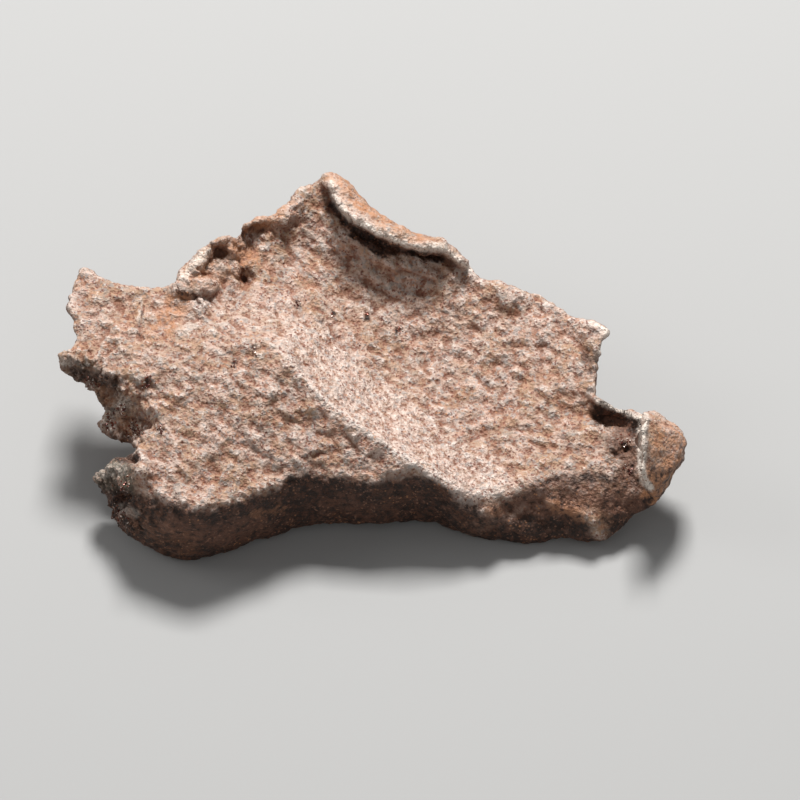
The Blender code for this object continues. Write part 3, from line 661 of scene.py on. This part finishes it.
@dataclass
class MeteoriteBody:
    """The whole meteorite: its sizes, its modelling and its paint."""

    face: FaceFrame = field(default_factory=FaceFrame)
    hammering: Hammering = field(default_factory=Hammering)
    # The mesh of the skin.
    voxel: float = 0.125
    relax_rounds: int = 10
    triangles: int = 192000
    # How the edges are made crisp again.
    crisp_rounds: tuple[int, int] = (5, 35)
    crispness: float = 0.8
    crisp_limit: float = 0.2
    # How the masks follow the relief.
    tone_rounds: tuple[int, int] = (8, 50)
    upward_rounds: int = 12
    tops_height: float = 0.08
    hollows_depth: float = 0.2
    dust_and_shade_edge: Edge = (-0.1, 0.75)
    down_shade_edge: Edge = (-0.5, 0.3)
    wall_edge: Edge = (-0.6, 0.6)
    right_edge: Edge = (4.0, 7.0)
    # How the edges of the paint wander.
    ripple: Pattern = Pattern(1.3, 1.0, 41.0)
    drift: Pattern = Pattern(1.3, 0.22, 47.0)
    fringe_u: Pattern = Pattern(0.5, 0.1, 43.0)
    fringe_v: Pattern = Pattern(0.5, 0.1, 53.0)
    # How wide each of the dark spots is.
    spot_width: float = 0.26

    def build(self) -> bpy.types.Object:
        """Model, paint and dress the meteorite.

        Returns:
            The finished object, in place of the solid.
        """
        body = self.fine_copy()
        self.model(Skin(body.data, self.face))
        self.thin(body)
        self.paint(Skin(body.data, self.face))
        body.data.polygons.foreach_set("use_smooth", [True] * len(body.data.polygons))
        body.data.materials.clear()
        body.data.materials.append(RustyIron().material())
        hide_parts(NODE)
        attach(body, "root")
        log.info("%s: %d triangles", body.name, count_triangles(body.data))
        return body

    def fine_copy(self) -> bpy.types.Object:
        """Copy the solid and give the copy a fine, even and softened skin.

        Returns:
            The copy.
        """
        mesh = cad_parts[NODE].data.copy()
        work = bmesh.new()
        work.from_mesh(mesh)
        bmesh.ops.remove_doubles(work, verts=work.verts, dist=0.001 * MM)
        work.to_mesh(mesh)
        work.free()
        body = bpy.data.objects.new("meteorite_skin", mesh)
        bpy.context.scene.collection.objects.link(body)
        remesh = body.modifiers.new("even skin", "REMESH")
        remesh.mode = "VOXEL"
        remesh.voxel_size = self.voxel * MM
        relax = body.modifiers.new("soften facets", "SMOOTH")
        relax.factor = 0.5
        relax.iterations = self.relax_rounds
        apply_modifiers(body)
        return body

    def model(self, skin: Skin) -> None:
        """Press the strokes and then the hammered grain into the skin.

        Args:
            skin: The fine copy's skin, which is shaped.
        """
        u, v, front = skin.flat_places()
        skin.move(sum(stroke.lift(u, v) for stroke in STROKES) * front)
        for press in (TAB_PRESS, POCKET_PRESS):
            skin.shift(press.lift(self.face.to_face(skin.points)), self.face.outward())
        near, wide = self.softened(skin, self.crisp_rounds)
        crisp = self.crispness * ((near - wide) * skin.normals).sum(axis=1)
        skin.move(np.clip(crisp, -self.crisp_limit, self.crisp_limit))
        u, v, front = skin.flat_places()
        smooth = self.tinted(Mask.BURNISHED_AND_SHEEN, u, v) * front
        smooth = np.maximum(smooth, TAB_PRESS.holds(self.face.to_face(skin.points)))
        torn = self.tinted(Mask.TORN, u, v) * (0.4 + 0.6 * front)
        wall = smooth_step(below_brow(u, v), 0.0, 1.0)
        skin.move(self.hammering.lift(self.face.to_face(skin.points), smooth, wall, torn))

    def thin(self, body: bpy.types.Object) -> None:
        """Thin the skin's triangles where it is plain, and keep them where it is rough.

        Args:
            body: The object that wears the skin.
        """
        thin = body.modifiers.new("thin", "DECIMATE")
        thin.ratio = min(1.0, self.triangles / count_triangles(body.data))
        thin.use_collapse_triangulate = True
        apply_modifiers(body)

    def tinted(self, mask: Mask, u: np.ndarray, v: np.ndarray) -> np.ndarray:
        """Lay one mask's brush strokes over each other.

        Args:
            mask: The mask.
            u: Places across the face.
            v: Places up the face.

        Returns:
            The strongest stroke at each place.
        """
        result = np.zeros(len(u))
        for tint in TINTS[mask]:
            result = np.maximum(result, tint.paint(u, v))
        return result

    def softened(self, skin: Skin, rounds: tuple[int, int]) -> tuple[np.ndarray, np.ndarray]:
        """Return the skin's points softened a little, and softened further."""
        near = skin.averaged(skin.points, rounds[0])
        return near, skin.averaged(near, rounds[1])

    def paint(self, skin: Skin) -> None:
        """Paint every mask on the skin, with edges that wander as rust does.

        Args:
            skin: The finished skin.
        """
        near, wide = self.softened(skin, self.tone_rounds)
        tops = ((skin.points - near) * skin.normals).sum(axis=1) / self.tops_height
        hollows = ((wide - near) * skin.normals).sum(axis=1) / self.hollows_depth
        skin.paint(Mask.TOPS, tops)
        skin.paint(Mask.HOLLOWS, hollows)
        u, v, front = skin.flat_places()
        skin.paint(Mask.WORN_AND_GLINTS, self.tinted(Mask.WORN_AND_GLINTS, u, v) * front)
        places = self.face.to_face(skin.points)
        ripple = self.ripple.lumps(places)
        u = u + self.drift.height * ripple + self.fringe_u.lumps(places)
        v = v + self.drift.lumps(places) + self.fringe_v.lumps(places)
        upward = skin.averaged(skin.normals, self.upward_rounds)[:, 2]
        # Dust on the sides that face up; where it thins, the umber is painted shade on the sides
        # that face down and on the back.
        dust_and_shade = smooth_step(upward + 0.12 * ripple, *self.dust_and_shade_edge)
        skin.paint(Mask.DUST_AND_SHADE, dust_and_shade * (0.3 + 0.7 * front))
        for mask in (Mask.BURNISHED_AND_SHEEN, Mask.RUST, Mask.GREY_AND_SHADE, Mask.RUDDY):
            skin.paint(mask, self.tinted(mask, u, v) * front)
        # Painted shade and dark crust on the front wall, and in the listed hollows and undercuts.
        dark = np.maximum(self.tinted(Mask.DARK_AND_SHADE, u, v), 0.85 * self.front_wall(u, v))
        for spot in DARK_SPOTS:
            dark = np.maximum(dark, 0.9 * round_spot(u, v, (spot,), self.spot_width))
        # Painted shade on the sides that face down.
        under = 1 - smooth_step(upward, *self.down_shade_edge)
        skin.paint(Mask.DARK_AND_SHADE, np.maximum(dark * front, 0.6 * under))

    def front_wall(self, u: np.ndarray, v: np.ndarray) -> np.ndarray:
        """Tell the front wall, painted dark as shade and dark crust, from the face.

        Args:
            u: Places across the face.
            v: Places up the face.

        Returns:
            0 on the face to 1 on the wall. The facet at the right comes in softly, and its tip
            stays paler, as painted light.
        """
        below = below_brow(u, v)
        right = smooth_step(u, *self.right_edge)
        facet = 0.78 * smooth_step(below, -0.4, 0.6) + 0.22 * smooth_step(below, 1.4, 3.0)
        facet *= 1 - 0.7 * round_spot(u, v, FACET_TIP, 0.7)
        return smooth_step(below, *self.wall_edge) * (1 - right) + facet * right


def count_triangles(mesh: bpy.types.Mesh) -> int:
    """Return how many triangles the mesh has."""
    return sum(len(face.vertices) - 2 for face in mesh.polygons)


def apply_modifiers(item: bpy.types.Object) -> None:
    """Bake an object's modifiers into its mesh.

    Args:
        item: The object.
    """
    bpy.context.view_layer.update()
    evaluated = item.evaluated_get(bpy.context.evaluated_depsgraph_get())
    mesh = bpy.data.meshes.new_from_object(evaluated)
    item.modifiers.clear()
    item.data = mesh


def fine_grain_group() -> bpy.types.NodeTree:
    """Return the shader group of the fine grain, which is built once for every material.

    Returns:
        The group. It takes the sizes of the grain and the specks in millimetres and the share
        of the pits, and gives the grain, the specks and the height of them all.
    """
    found = bpy.data.node_groups.get("fine grain")
    if found:
        return found
    tree = bpy.data.node_groups.new("fine grain", "ShaderNodeTree")
    for name in ("Grain Size", "Speck Size", "Pitting"):
        tree.interface.new_socket(name, in_out="INPUT", socket_type="NodeSocketFloat")
    for name in ("Grain", "Speck", "Height"):
        tree.interface.new_socket(name, in_out="OUTPUT", socket_type="NodeSocketFloat")
    board = NodeBoard(tree)
    given = board.add("NodeGroupInput").outputs
    grain = board.cloud(given["Grain Size"], detail=3.0, roughness=0.6, offset=3.0)
    speck = board.cloud(given["Speck Size"], detail=2.0, roughness=0.6, offset=9.0)
    pitted = board.times(board.cells(0.28, 5.0), given["Pitting"])
    height = board.sum((grain, 0.6), (speck, 0.5), pitted)
    board.add("NodeGroupOutput", grain, speck, height)
    return tree


@dataclass(frozen=True)
class Band:
    """Where a tint comes in: none at low, and its full share at high."""

    low: float
    high: float
    share: float = 1.0


@dataclass(frozen=True)
class Specks:
    """Scattered grains: how far apart they are, their seed, and how many of them show."""

    size: float
    seed: float
    band: Band


class NodeBoard:
    """Lays out the nodes of one material or group."""

    def __init__(self, tree: bpy.types.NodeTree) -> None:
        """Keep the tree that the nodes go in."""
        self.tree = tree

    def add(self, kind: str, *inputs: object, **settings: object) -> bpy.types.Node:
        """Add one node.

        Args:
            kind: The node's type.
            inputs: A socket or a value for each input in order, or None to leave it.
            settings: The node's own settings.

        Returns:
            The new node.
        """
        node = self.tree.nodes.new(kind)
        for name, value in settings.items():
            setattr(node, name, value)
        for socket, value in zip(node.inputs, inputs):
            self.feed(socket, value)
        return node

    def feed(self, socket: bpy.types.NodeSocket, value: object) -> None:
        """Link a socket to an input, or set the input's value.

        Args:
            socket: The input.
            value: The socket or value that it takes, or None to leave it.
        """
        if isinstance(value, bpy.types.NodeSocket):
            self.tree.links.new(value, socket)
        elif value is not None:
            socket.default_value = value

    def mask(self, mask: Mask) -> bpy.types.NodeSocket:
        """Return one of the painted masks."""
        node = self.add("ShaderNodeAttribute", attribute_name=mask.value)
        return node.outputs["Fac"]

    def place(self, offset: float) -> bpy.types.NodeSocket:
        """Read the place on the object.

        Args:
            offset: How far the pattern is moved.

        Returns:
            The socket of the place in millimetres.
        """
        coordinates = self.add("ShaderNodeTexCoord").outputs["Object"]
        scaled = self.add("ShaderNodeMapping", coordinates)
        scaled.inputs["Scale"].default_value = (1 / MM, 1 / MM, 1 / MM)
        scaled.inputs["Location"].default_value = (offset, offset, offset)
        return scaled.outputs["Vector"]

    def fine_grain(
        self, grain_size: float, speck_size: float, pitting: float
    ) -> tuple[bpy.types.NodeSocket, ...]:
        """Place the fine grain with one material's own values.

        Args:
            grain_size: The size of the grain in millimetres.
            speck_size: The size of the specks in millimetres.
            pitting: The share of the pits in the height.

        Returns:
            The sockets of the grain, the specks and the height.
        """
        node = self.add("ShaderNodeGroup", node_tree=fine_grain_group())
        for socket, value in zip(node.inputs, (grain_size, speck_size, pitting)):
            self.feed(socket, value)
        return tuple(node.outputs)

    def bumps(
        self, shader: bpy.types.Node, height: bpy.types.NodeSocket, distance: float
    ) -> None:
        """Feed a height to the shader's normal.

        Args:
            shader: The material's shader.
            height: The height's socket.
            distance: How high a height of 1 stands, in millimetres.
        """
        bump = self.add("ShaderNodeBump")
        bump.inputs["Distance"].default_value = distance * MM
        bump.inputs["Strength"].default_value = 1.0
        self.feed(bump.inputs["Height"], height)
        self.feed(shader.inputs["Normal"], bump.outputs["Normal"])

    def cloud(
        self, size: object, detail: float, roughness: float, offset: float
    ) -> bpy.types.NodeSocket:
        """Return soft noise from 0 to 1.

        Args:
            size: How far apart the clouds are, in millimetres, or the socket that gives it.
            detail: How many finer layers it has.
            roughness: How strong the finer layers are.
            offset: Which of the patterns to read.

        Returns:
            The value's socket.
        """
        node = self.add("ShaderNodeTexNoise")
        self.feed(node.inputs["Vector"], self.place(offset))
        self.feed(node.inputs["Scale"], self.over(1.0, size))
        node.inputs["Detail"].default_value = detail
        node.inputs["Roughness"].default_value = roughness
        return node.outputs["Fac"]

    def cells(self, size: float, offset: float) -> bpy.types.NodeSocket:
        """Read the distance to the nearest of scattered points.

        Args:
            size: How far apart the points are, in millimetres.
            offset: Which of the patterns to read.

        Returns:
            The socket of the distance, about 0 to 1.
        """
        node = self.add("ShaderNodeTexVoronoi")
        self.feed(node.inputs["Vector"], self.place(offset))
        node.inputs["Scale"].default_value = 1 / size
        return node.outputs["Distance"]

    def specks(self, specks: Specks) -> bpy.types.NodeSocket:
        """Scatter grains, each of one tone from edge to edge.

        Args:
            specks: Their size, seed and band.

        Returns:
            The socket of the share that they show with.
        """
        node = self.add("ShaderNodeTexVoronoi")
        self.feed(node.inputs["Vector"], self.place(specks.seed))
        node.inputs["Scale"].default_value = 1 / specks.size
        tone = self.add("ShaderNodeSeparateColor", node.outputs["Color"]).outputs["Red"]
        return self.step(tone, specks.band)

    def sum(self, *terms: object) -> bpy.types.NodeSocket:
        """Add up values.

        Args:
            terms: Each a socket, or a pair of a socket or value and its share.

        Returns:
            The socket of the sum.
        """
        total = None
        for term in terms:
            value, share = term if isinstance(term, tuple) else (term, 1.0)
            node = self.add("ShaderNodeMath", value, share, total or 0.0, operation="MULTIPLY_ADD")
            total = node.outputs[0]
        return total

    def times(self, first: object, second: object) -> bpy.types.NodeSocket:
        """Return the product of two values."""
        return self.add("ShaderNodeMath", first, second, operation="MULTIPLY").outputs[0]

    def over(self, first: float, second: object) -> object:
        """Divide the first value by the second.

        Args:
            first: A number.
            second: A number or a socket.

        Returns:
            A number, or a socket where the second value is one.
        """
        if isinstance(second, bpy.types.NodeSocket):
            return self.add("ShaderNodeMath", first, second, operation="DIVIDE").outputs[0]
        return first / second

    def step(self, value: bpy.types.NodeSocket, band: Band) -> bpy.types.NodeSocket:
        """Let a tint come in where a value crosses a band.

        Args:
            value: The value's socket.
            band: The band.

        Returns:
            The socket of the tint's share.
        """
        node = self.add(
            "ShaderNodeMapRange", value, band.low, band.high, 0.0, band.share,
            interpolation_type="SMOOTHSTEP",
        )
        return node.outputs["Result"]

    def blend(self, share: object, below: object, above: object) -> bpy.types.NodeSocket:
        """Mix two colours.

        Args:
            share: How much of the second colour, 0 to 1.
            below: The first colour or socket.
            above: The second colour or socket.

        Returns:
            The mixed colour's socket.
        """
        node = self.add("ShaderNodeMix", data_type="RGBA")
        self.feed(node.inputs["Factor"], share)
        for name, value in (("A", below), ("B", above)):
            socket = next(s for s in node.inputs if s.name == name and s.type == "RGBA")
            if isinstance(value, tuple):
                value = (*value, 1.0)
            self.feed(socket, value)
        return next(s for s in node.outputs if s.type == "RGBA")


@dataclass(frozen=True)
class RustyIron:
    """Rusty iron, pale dusty bloom, painted sheen and shade: colours and how rough it is."""

    brown: Colour = (0.46, 0.285, 0.185)
    blush: Colour = (0.60, 0.45, 0.38)
    grey: Colour = (0.38, 0.32, 0.275)
    orange: Colour = (0.54, 0.25, 0.12)
    rose: Colour = (0.50, 0.26, 0.17)
    russet: Colour = (0.32, 0.115, 0.06)
    slate: Colour = (0.30, 0.30, 0.30)
    grey_and_shade: Colour = (0.13, 0.105, 0.075)
    # Umber: painted shade on the sides that face down, and dark patches on the wall.
    umber: Colour = (0.15, 0.062, 0.032)
    # Painted shade in the creases of the bumps.
    crease_shade: Colour = (0.24, 0.095, 0.05)
    ember: Colour = (0.17, 0.045, 0.025)
    ruddy: Colour = (0.21, 0.095, 0.058)
    # Painted highlight on the tops of the bumps.
    pale: Colour = (0.86, 0.77, 0.71)
    # Near black and dark brown of the front wall and hollows: partly their dark crust, partly
    # painted shade.
    shade_black: Colour = (0.028, 0.013, 0.008)
    wall: Colour = (0.105, 0.042, 0.023)
    bare_and_glint: Colour = (0.88, 0.80, 0.72)
    # Pale colour of the rubbed flanks: a painted sheen.
    burnish_and_sheen: Colour = (0.70, 0.56, 0.49)
    blush_band: Band = Band(0.38, 0.62)
    grey_band: Band = Band(0.52, 0.64, 0.6)
    rose_band: Band = Band(0.46, 0.34, 0.6)
    burnish_and_sheen_band: Band = Band(0.3, 0.55, 0.85)
    russet_specks: Specks = Specks(0.2, 61.0, Band(0.8, 0.84, 0.55))
    slate_specks: Specks = Specks(0.25, 67.0, Band(0.82, 0.86, 0.5))
    crease_shade_band: Band = Band(0.12, 0.5, 0.85)
    bump_highlight_band: Band = Band(0.78, 1.14, 0.7)
    ember_specks: Specks = Specks(0.13, 83.0, Band(0.91, 0.93, 0.75))
    umber_band: Band = Band(0.42, 0.85)
    grey_and_shade_specks: Specks = Specks(0.2, 71.0, Band(0.05, 0.4))
    wall_band: Band = Band(0.8, 1.05)
    wall_patches: Band = Band(0.54, 0.7, 0.5)
    ruddy_band: Band = Band(0.3, 0.5)
    wall_specks_and_glints: Specks = Specks(0.12, 97.0, Band(0.95, 0.96, 0.4))
    dark_band: Band = Band(0.2, 0.85)
    rust_band: Band = Band(0.36, 0.6, 0.85)
    rust_dots: Band = Band(0.28, 0.14)
    rust_dots_where: Band = Band(0.5, 0.66, 0.9)
    worn_and_glints_band: Band = Band(0.3, 0.5)
    roughness: float = 0.62
    burnished_roughness: float = 0.5
    grain_size: float = 0.5
    speck_size: float = 0.17
    pitting: float = 0.35
    bump: float = 0.24

    def material(self) -> bpy.types.Material:
        """Mix the meteorite's material.

        Returns:
            The material.
        """
        material = bpy.data.materials.new("rusty iron")
        material.use_nodes = True
        board = NodeBoard(material.node_tree)
        shader = material.node_tree.nodes["Principled BSDF"]
        grain, speck, height = board.fine_grain(self.grain_size, self.speck_size, self.pitting)
        patch = board.cloud(1.8, detail=4.0, roughness=0.62, offset=14.0)
        burnished_and_sheen = board.mask(Mask.BURNISHED_AND_SHEEN)
        colour = self.face_colour(board, grain, speck, patch, burnished_and_sheen)
        walls_and_shade = self.wall_and_shade_colour(board, grain, speck, patch)
        # Painted shade and shadow, and the wall's dark crust, where the dark mask is strong.
        broken = board.sum((board.mask(Mask.DARK_AND_SHADE), 1.0), (grain, -0.9), (0.45, 1.0))
        colour = board.blend(board.step(broken, self.dark_band), colour, walls_and_shade)
        rust = board.times(board.mask(Mask.RUST), board.step(grain, self.rust_band))
        colour = board.blend(rust, colour, self.orange)
        dots = board.step(board.cells(0.35, 31.0), self.rust_dots)
        dots = board.times(dots, board.step(patch, self.rust_dots_where))
        colour = board.blend(dots, colour, self.orange)
        # Edges rubbed to bright metal, with painted glints.
        worn_and_glints = board.times(board.mask(Mask.WORN_AND_GLINTS), board.step(speck, self.worn_and_glints_band))
        colour = board.blend(worn_and_glints, colour, self.bare_and_glint)
        board.feed(shader.inputs["Base Color"], colour)
        rough = board.sum(
            (speck, 0.3),
            (burnished_and_sheen, self.burnished_roughness - self.roughness),
            (self.roughness - 0.15, 1.0),
        )
        board.feed(shader.inputs["Roughness"], rough)
        board.feed(shader.inputs["Metallic"], board.sum((worn_and_glints, 0.4), (burnished_and_sheen, 0.1)))
        board.bumps(shader, height, self.bump)
        return material

    def face_colour(
        self,
        board: NodeBoard,
        grain: bpy.types.NodeSocket,
        speck: bpy.types.NodeSocket,
        patch: bpy.types.NodeSocket,
        burnished_and_sheen: bpy.types.NodeSocket,
    ) -> bpy.types.NodeSocket:
        """Mix the colour of the dished face.

        Args:
            board: The material's nodes.
            grain: The fine grain.
            speck: The specks.
            patch: The broad patches of rust and bloom.
            burnished_and_sheen: Where the iron is rubbed smooth, and where a painted sheen
                lightens it.

        Returns:
            The colour's socket.
        """
        stain = board.cloud(0.9, detail=3.0, roughness=0.6, offset=23.0)
        tops = board.mask(Mask.TOPS)
        colour = board.blend(board.step(patch, self.blush_band), self.brown, self.blush)
        colour = board.blend(board.step(stain, self.grey_band), colour, self.grey)
        colour = board.blend(board.step(stain, self.rose_band), colour, self.rose)
        # Painted sheen on the rubbed flanks that face the key lamp.
        bright = board.times(burnished_and_sheen, board.step(grain, self.burnish_and_sheen_band))
        colour = board.blend(bright, colour, self.burnish_and_sheen)
        colour = board.blend(board.specks(self.russet_specks), colour, self.russet)
        colour = board.blend(board.specks(self.slate_specks), colour, self.slate)
        hollows = board.mask(Mask.HOLLOWS)
        # Painted shade in the creases of the bumps: where the grain, the specks and the tops are
        # low, and in hollows.
        low = board.sum(
            (speck, -0.7), (grain, -0.7), (tops, -0.28), (hollows, 0.12), (0.85, 1.0)
        )
        colour = board.blend(board.step(low, self.crease_shade_band), colour, self.crease_shade)
        # Painted highlights on the tops of the bumps.
        high = board.sum((speck, 0.8), (grain, 0.6), (tops, 0.25), (burnished_and_sheen, 0.08))
        colour = board.blend(board.step(high, self.bump_highlight_band), colour, self.pale)
        colour = board.blend(board.specks(self.ember_specks), colour, self.ember)
        # Painted shade: darker umber where the skin faces down or away from the face.
        shade = board.sum((board.mask(Mask.DUST_AND_SHADE), -0.75), (0.75, 1.0))
        shade = board.times(shade, board.step(board.sum(patch, (grain, 0.4)), self.umber_band))
        colour = board.blend(board.times(shade, 1.35), colour, self.umber)
        # Dark grey on the broken iron, partly painted shade.
        torn = board.times(board.mask(Mask.GREY_AND_SHADE), board.specks(self.grey_and_shade_specks))
        return board.blend(torn, colour, self.grey_and_shade)

    def wall_and_shade_colour(
        self,
        board: NodeBoard,
        grain: bpy.types.NodeSocket,
        speck: bpy.types.NodeSocket,
        patch: bpy.types.NodeSocket,
    ) -> bpy.types.NodeSocket:
        """Mix the dark colour of the front wall and of the deep hollows: partly their dark crust,
        partly painted shade and shadow.

        Args:
            board: The material's nodes.
            grain: The fine grain.
            speck: The specks.
            patch: The broad patches of rust.

        Returns:
            The colour's socket.
        """
        murk = board.step(board.sum((grain, 1.0), (speck, 0.8)), self.wall_band)
        colour = board.blend(murk, self.shade_black, self.wall)
        colour = board.blend(board.step(patch, self.wall_patches), colour, self.umber)
        ruddy = board.times(board.mask(Mask.RUDDY), board.step(grain, self.ruddy_band))
        colour = board.blend(ruddy, colour, self.ruddy)
        # Rose specks, partly painted glints.
        return board.blend(board.specks(self.wall_specks_and_glints), colour, self.rose)


@dataclass(frozen=True)
class RedCrystal:
    """The dark red, glassy crystals in the torn end."""

    colour: Colour = (0.10, 0.022, 0.016)
    ember: Colour = (0.32, 0.10, 0.06)
    glint: Colour = (0.92, 0.84, 0.76)
    grain_size: float = 0.5
    ember_band: Band = Band(0.4, 0.65)
    glint_specks: Specks = Specks(0.1, 5.0, Band(0.8, 0.82))
    metallic: float = 0.3
    speck_size: float = 0.12
    pitting: float = 0.1
    bump: float = 0.03

    def material(self) -> bpy.types.Material:
        """Mix the crystals' material.

        Returns:
            The material.
        """
        material = bpy.data.materials.new("dark red crystal")
        material.use_nodes = True
        board = NodeBoard(material.node_tree)
        shader = material.node_tree.nodes["Principled BSDF"]
        grain, speck, height = board.fine_grain(self.grain_size, self.speck_size, self.pitting)
        colour = board.blend(board.step(grain, self.ember_band), self.colour, self.ember)
        colour = board.blend(board.specks(self.glint_specks), colour, self.glint)
        board.feed(shader.inputs["Base Color"], colour)
        board.feed(shader.inputs["Roughness"], board.sum((speck, 0.3), (0.08, 1.0)))
        shader.inputs["Metallic"].default_value = self.metallic
        board.bumps(shader, height, self.bump)
        return material


@dataclass(frozen=True)
class Nest:
    """A cluster of crystals: its place on the face, how wide it spreads and their number."""

    u: float
    v: float
    spread: float
    count: int

    def pick(self, chance: random.Random) -> Point:
        """Pick one place of the nest, most often near its middle."""
        return chance.gauss(self.u, self.spread * 0.6), chance.gauss(self.v, self.spread * 0.6)


NESTS = (
    # The torn end and the notch below it.
    Nest(-16.6, -4.6, 0.5, 60),
    Nest(-18.3, -3.9, 0.4, 40),
    Nest(-14.6, -4.5, 0.3, 16),
    Nest(-15.6, -1.2, 0.4, 26),
    Nest(-17.6, -3.0, 0.5, 30),
    Nest(-17.6, -10.4, 0.6, 34),
    Nest(-17.2, -8.3, 0.5, 20),
    Nest(-19.4, -1.2, 0.5, 24),
    # The small pits of the dish.
    Nest(-5.0, 4.4, 0.3, 9),
    Nest(-2.7, 3.7, 0.3, 8),
    Nest(2.0, 2.6, 0.3, 8),
    Nest(-0.3, 3.7, 0.25, 6),
    Nest(-8.0, 1.1, 0.3, 7),
    Nest(-9.5, 0.3, 0.3, 7),
    # The hollow beside the folded tab.
    Nest(17.8, -5.4, 0.5, 16),
    Nest(18.1, -7.4, 0.4, 14),
)


@dataclass
class CrystalCrust:
    """Small crystals that sit in the torn end and in a few pits of the face."""

    face: FaceFrame
    seed: int = 5
    size: tuple[float, float] = (0.05, 0.13)
    drop_height: float = 30.0
    lifted: float = 0.1
    bevel: float = 0.18
    nests: tuple[Nest, ...] = NESTS

    def build(self, body: bpy.types.Object) -> bpy.types.Object:
        """Set the crystals into the skin.

        Args:
            body: The finished meteorite that they sit in.

        Returns:
            The crystals, joined as one object.
        """
        chance = random.Random(self.seed)
        outward = Vector(self.face.outward())
        bpy.context.view_layer.update()
        work = bmesh.new()
        for nest in self.nests:
            for _ in range(nest.count):
                above = self.face.to_object(*nest.pick(chance), self.drop_height)
                hit, place, normal, _ = body.ray_cast(above, -outward)
                if hit:
                    self.add_crystal(work, place, normal, chance)
        mesh = bpy.data.meshes.new("torn_crystals")
        work.to_mesh(mesh)
        work.free()
        crust = bpy.data.objects.new("torn_crystals", mesh)
        bpy.context.scene.collection.objects.link(crust)
        mesh.materials.append(RedCrystal().material())
        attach(crust, "root")
        log.info("%s: %d triangles", crust.name, count_triangles(mesh))
        return crust

    def add_crystal(
        self, work: bmesh.types.BMesh, place: Vector, normal: Vector, chance: random.Random
    ) -> None:
        """Add one blocky crystal, nearly half sunk into the skin.

        Args:
            work: The mesh that takes the crystal.
            place: Where it sits.
            normal: Which way the skin looks there.
            chance: The source of its size and turn.
        """
        size = chance.uniform(*self.size) * MM
        stretch = (chance.uniform(0.7, 1.3), chance.uniform(0.7, 1.3), chance.uniform(0.8, 1.5))
        turn = Euler([chance.uniform(0.0, math.tau) for _ in range(3)]).to_matrix().to_4x4()
        scale = Matrix.Diagonal((*[size * share for share in stretch], 1.0))
        matrix = Matrix.Translation(place + normal * size * self.lifted) @ turn @ scale
        made = bmesh.ops.create_cube(work, size=1.0, matrix=matrix)
        edges = list(dict.fromkeys(edge for vert in made["verts"] for edge in vert.link_edges))
        bmesh.ops.bevel(
            work, geom=edges, offset=size * self.bevel, affect="EDGES", segments=1,
            profile=0.5, material=-1,
        )


@dataclass(frozen=True)
class Lamp:
    """One soft square lamp, in metres and watts."""

    name: str
    place: Place
    size: float
    power: float
    colour: Colour

    def hang(self) -> None:
        """Hang the lamp so that it looks at the meteorite."""
        data = bpy.data.lights.new(self.name, "AREA")
        data.size = self.size
        data.energy = self.power
        data.color = self.colour
        lamp = bpy.data.objects.new(self.name, data)
        lamp.location = self.place
        lamp.rotation_euler = (-Vector(self.place)).to_track_quat("-Z", "Y").to_euler()
        bpy.context.scene.collection.objects.link(lamp)


@dataclass
class Studio:
    """The floor, the lights and the camera, in metres but for the aim on the face."""

    face: FaceFrame
    floor_size: float = 3.0
    distance: float = 0.7
    frame_width: float = 0.05634
    aim: Place = (2.08, -2.36, 7.0)
    room: Colour = (1.0, 0.98, 0.96)
    room_light: float = 0.2
    lamps: tuple[Lamp, ...] = (
        Lamp("key", (0.02, 0.276, 0.387), 0.12, 3.25, (1.0, 0.97, 0.94)),
        Lamp("side", (-0.38, 0.08, 0.22), 0.2, 0.3, (1.0, 0.98, 0.96)),
        Lamp("front", (0.1, -0.5, 0.45), 0.4, 0.15, (1.0, 0.98, 0.96)),
    )

    def build(self) -> None:
        """Set the stage."""
        self.floor()
        self.camera()
        for lamp in self.lamps:
            lamp.hang()
        world = bpy.data.worlds.new("room")
        bpy.context.scene.world = world
        world.use_nodes = True
        background = world.node_tree.nodes["Background"]
        background.inputs["Color"].default_value = (*self.room, 1.0)
        background.inputs["Strength"].default_value = self.room_light
        bpy.context.scene.view_settings.view_transform = "Standard"

    def floor(self) -> None:
        """Lay the plain pale floor."""
        work = bmesh.new()
        bmesh.ops.create_grid(work, x_segments=1, y_segments=1, size=self.floor_size / 2)
        mesh = bpy.data.meshes.new("floor")
        work.to_mesh(mesh)
        work.free()
        floor = bpy.data.objects.new("floor", mesh)
        bpy.context.scene.collection.objects.link(floor)
        material = bpy.data.materials.new("pale floor")
        material.use_nodes = True
        shader = material.node_tree.nodes["Principled BSDF"]
        shader.inputs["Base Color"].default_value = (0.45, 0.46, 0.465, 1.0)
        shader.inputs["Roughness"].default_value = 0.8
        mesh.materials.append(material)

    def camera(self) -> None:
        """Set the camera square to the face, far off with a long lens."""
        target = self.face.to_object(*self.aim)
        outward = Vector(self.face.outward())
        data = bpy.data.cameras.new("camera")
        data.sensor_width = 36.0
        data.lens = data.sensor_width * self.distance / self.frame_width
        camera = bpy.data.objects.new("camera", data)
        camera.location = target + outward * self.distance
        camera.rotation_euler = (-outward).to_track_quat("-Z", "Y").to_euler()
        bpy.context.scene.collection.objects.link(camera)
        bpy.context.scene.camera = camera


def main() -> None:
    """Build the meteorite and set the stage."""
    logging.basicConfig(level=logging.INFO, format="%(name)s: %(message)s")
    noise.seed_set(NOISE_SEED)
    body = MeteoriteBody()
    skin = body.build()
    CrystalCrust(body.face).build(skin)
    Studio(body.face).build()


if __name__ == "__main__":
    main()
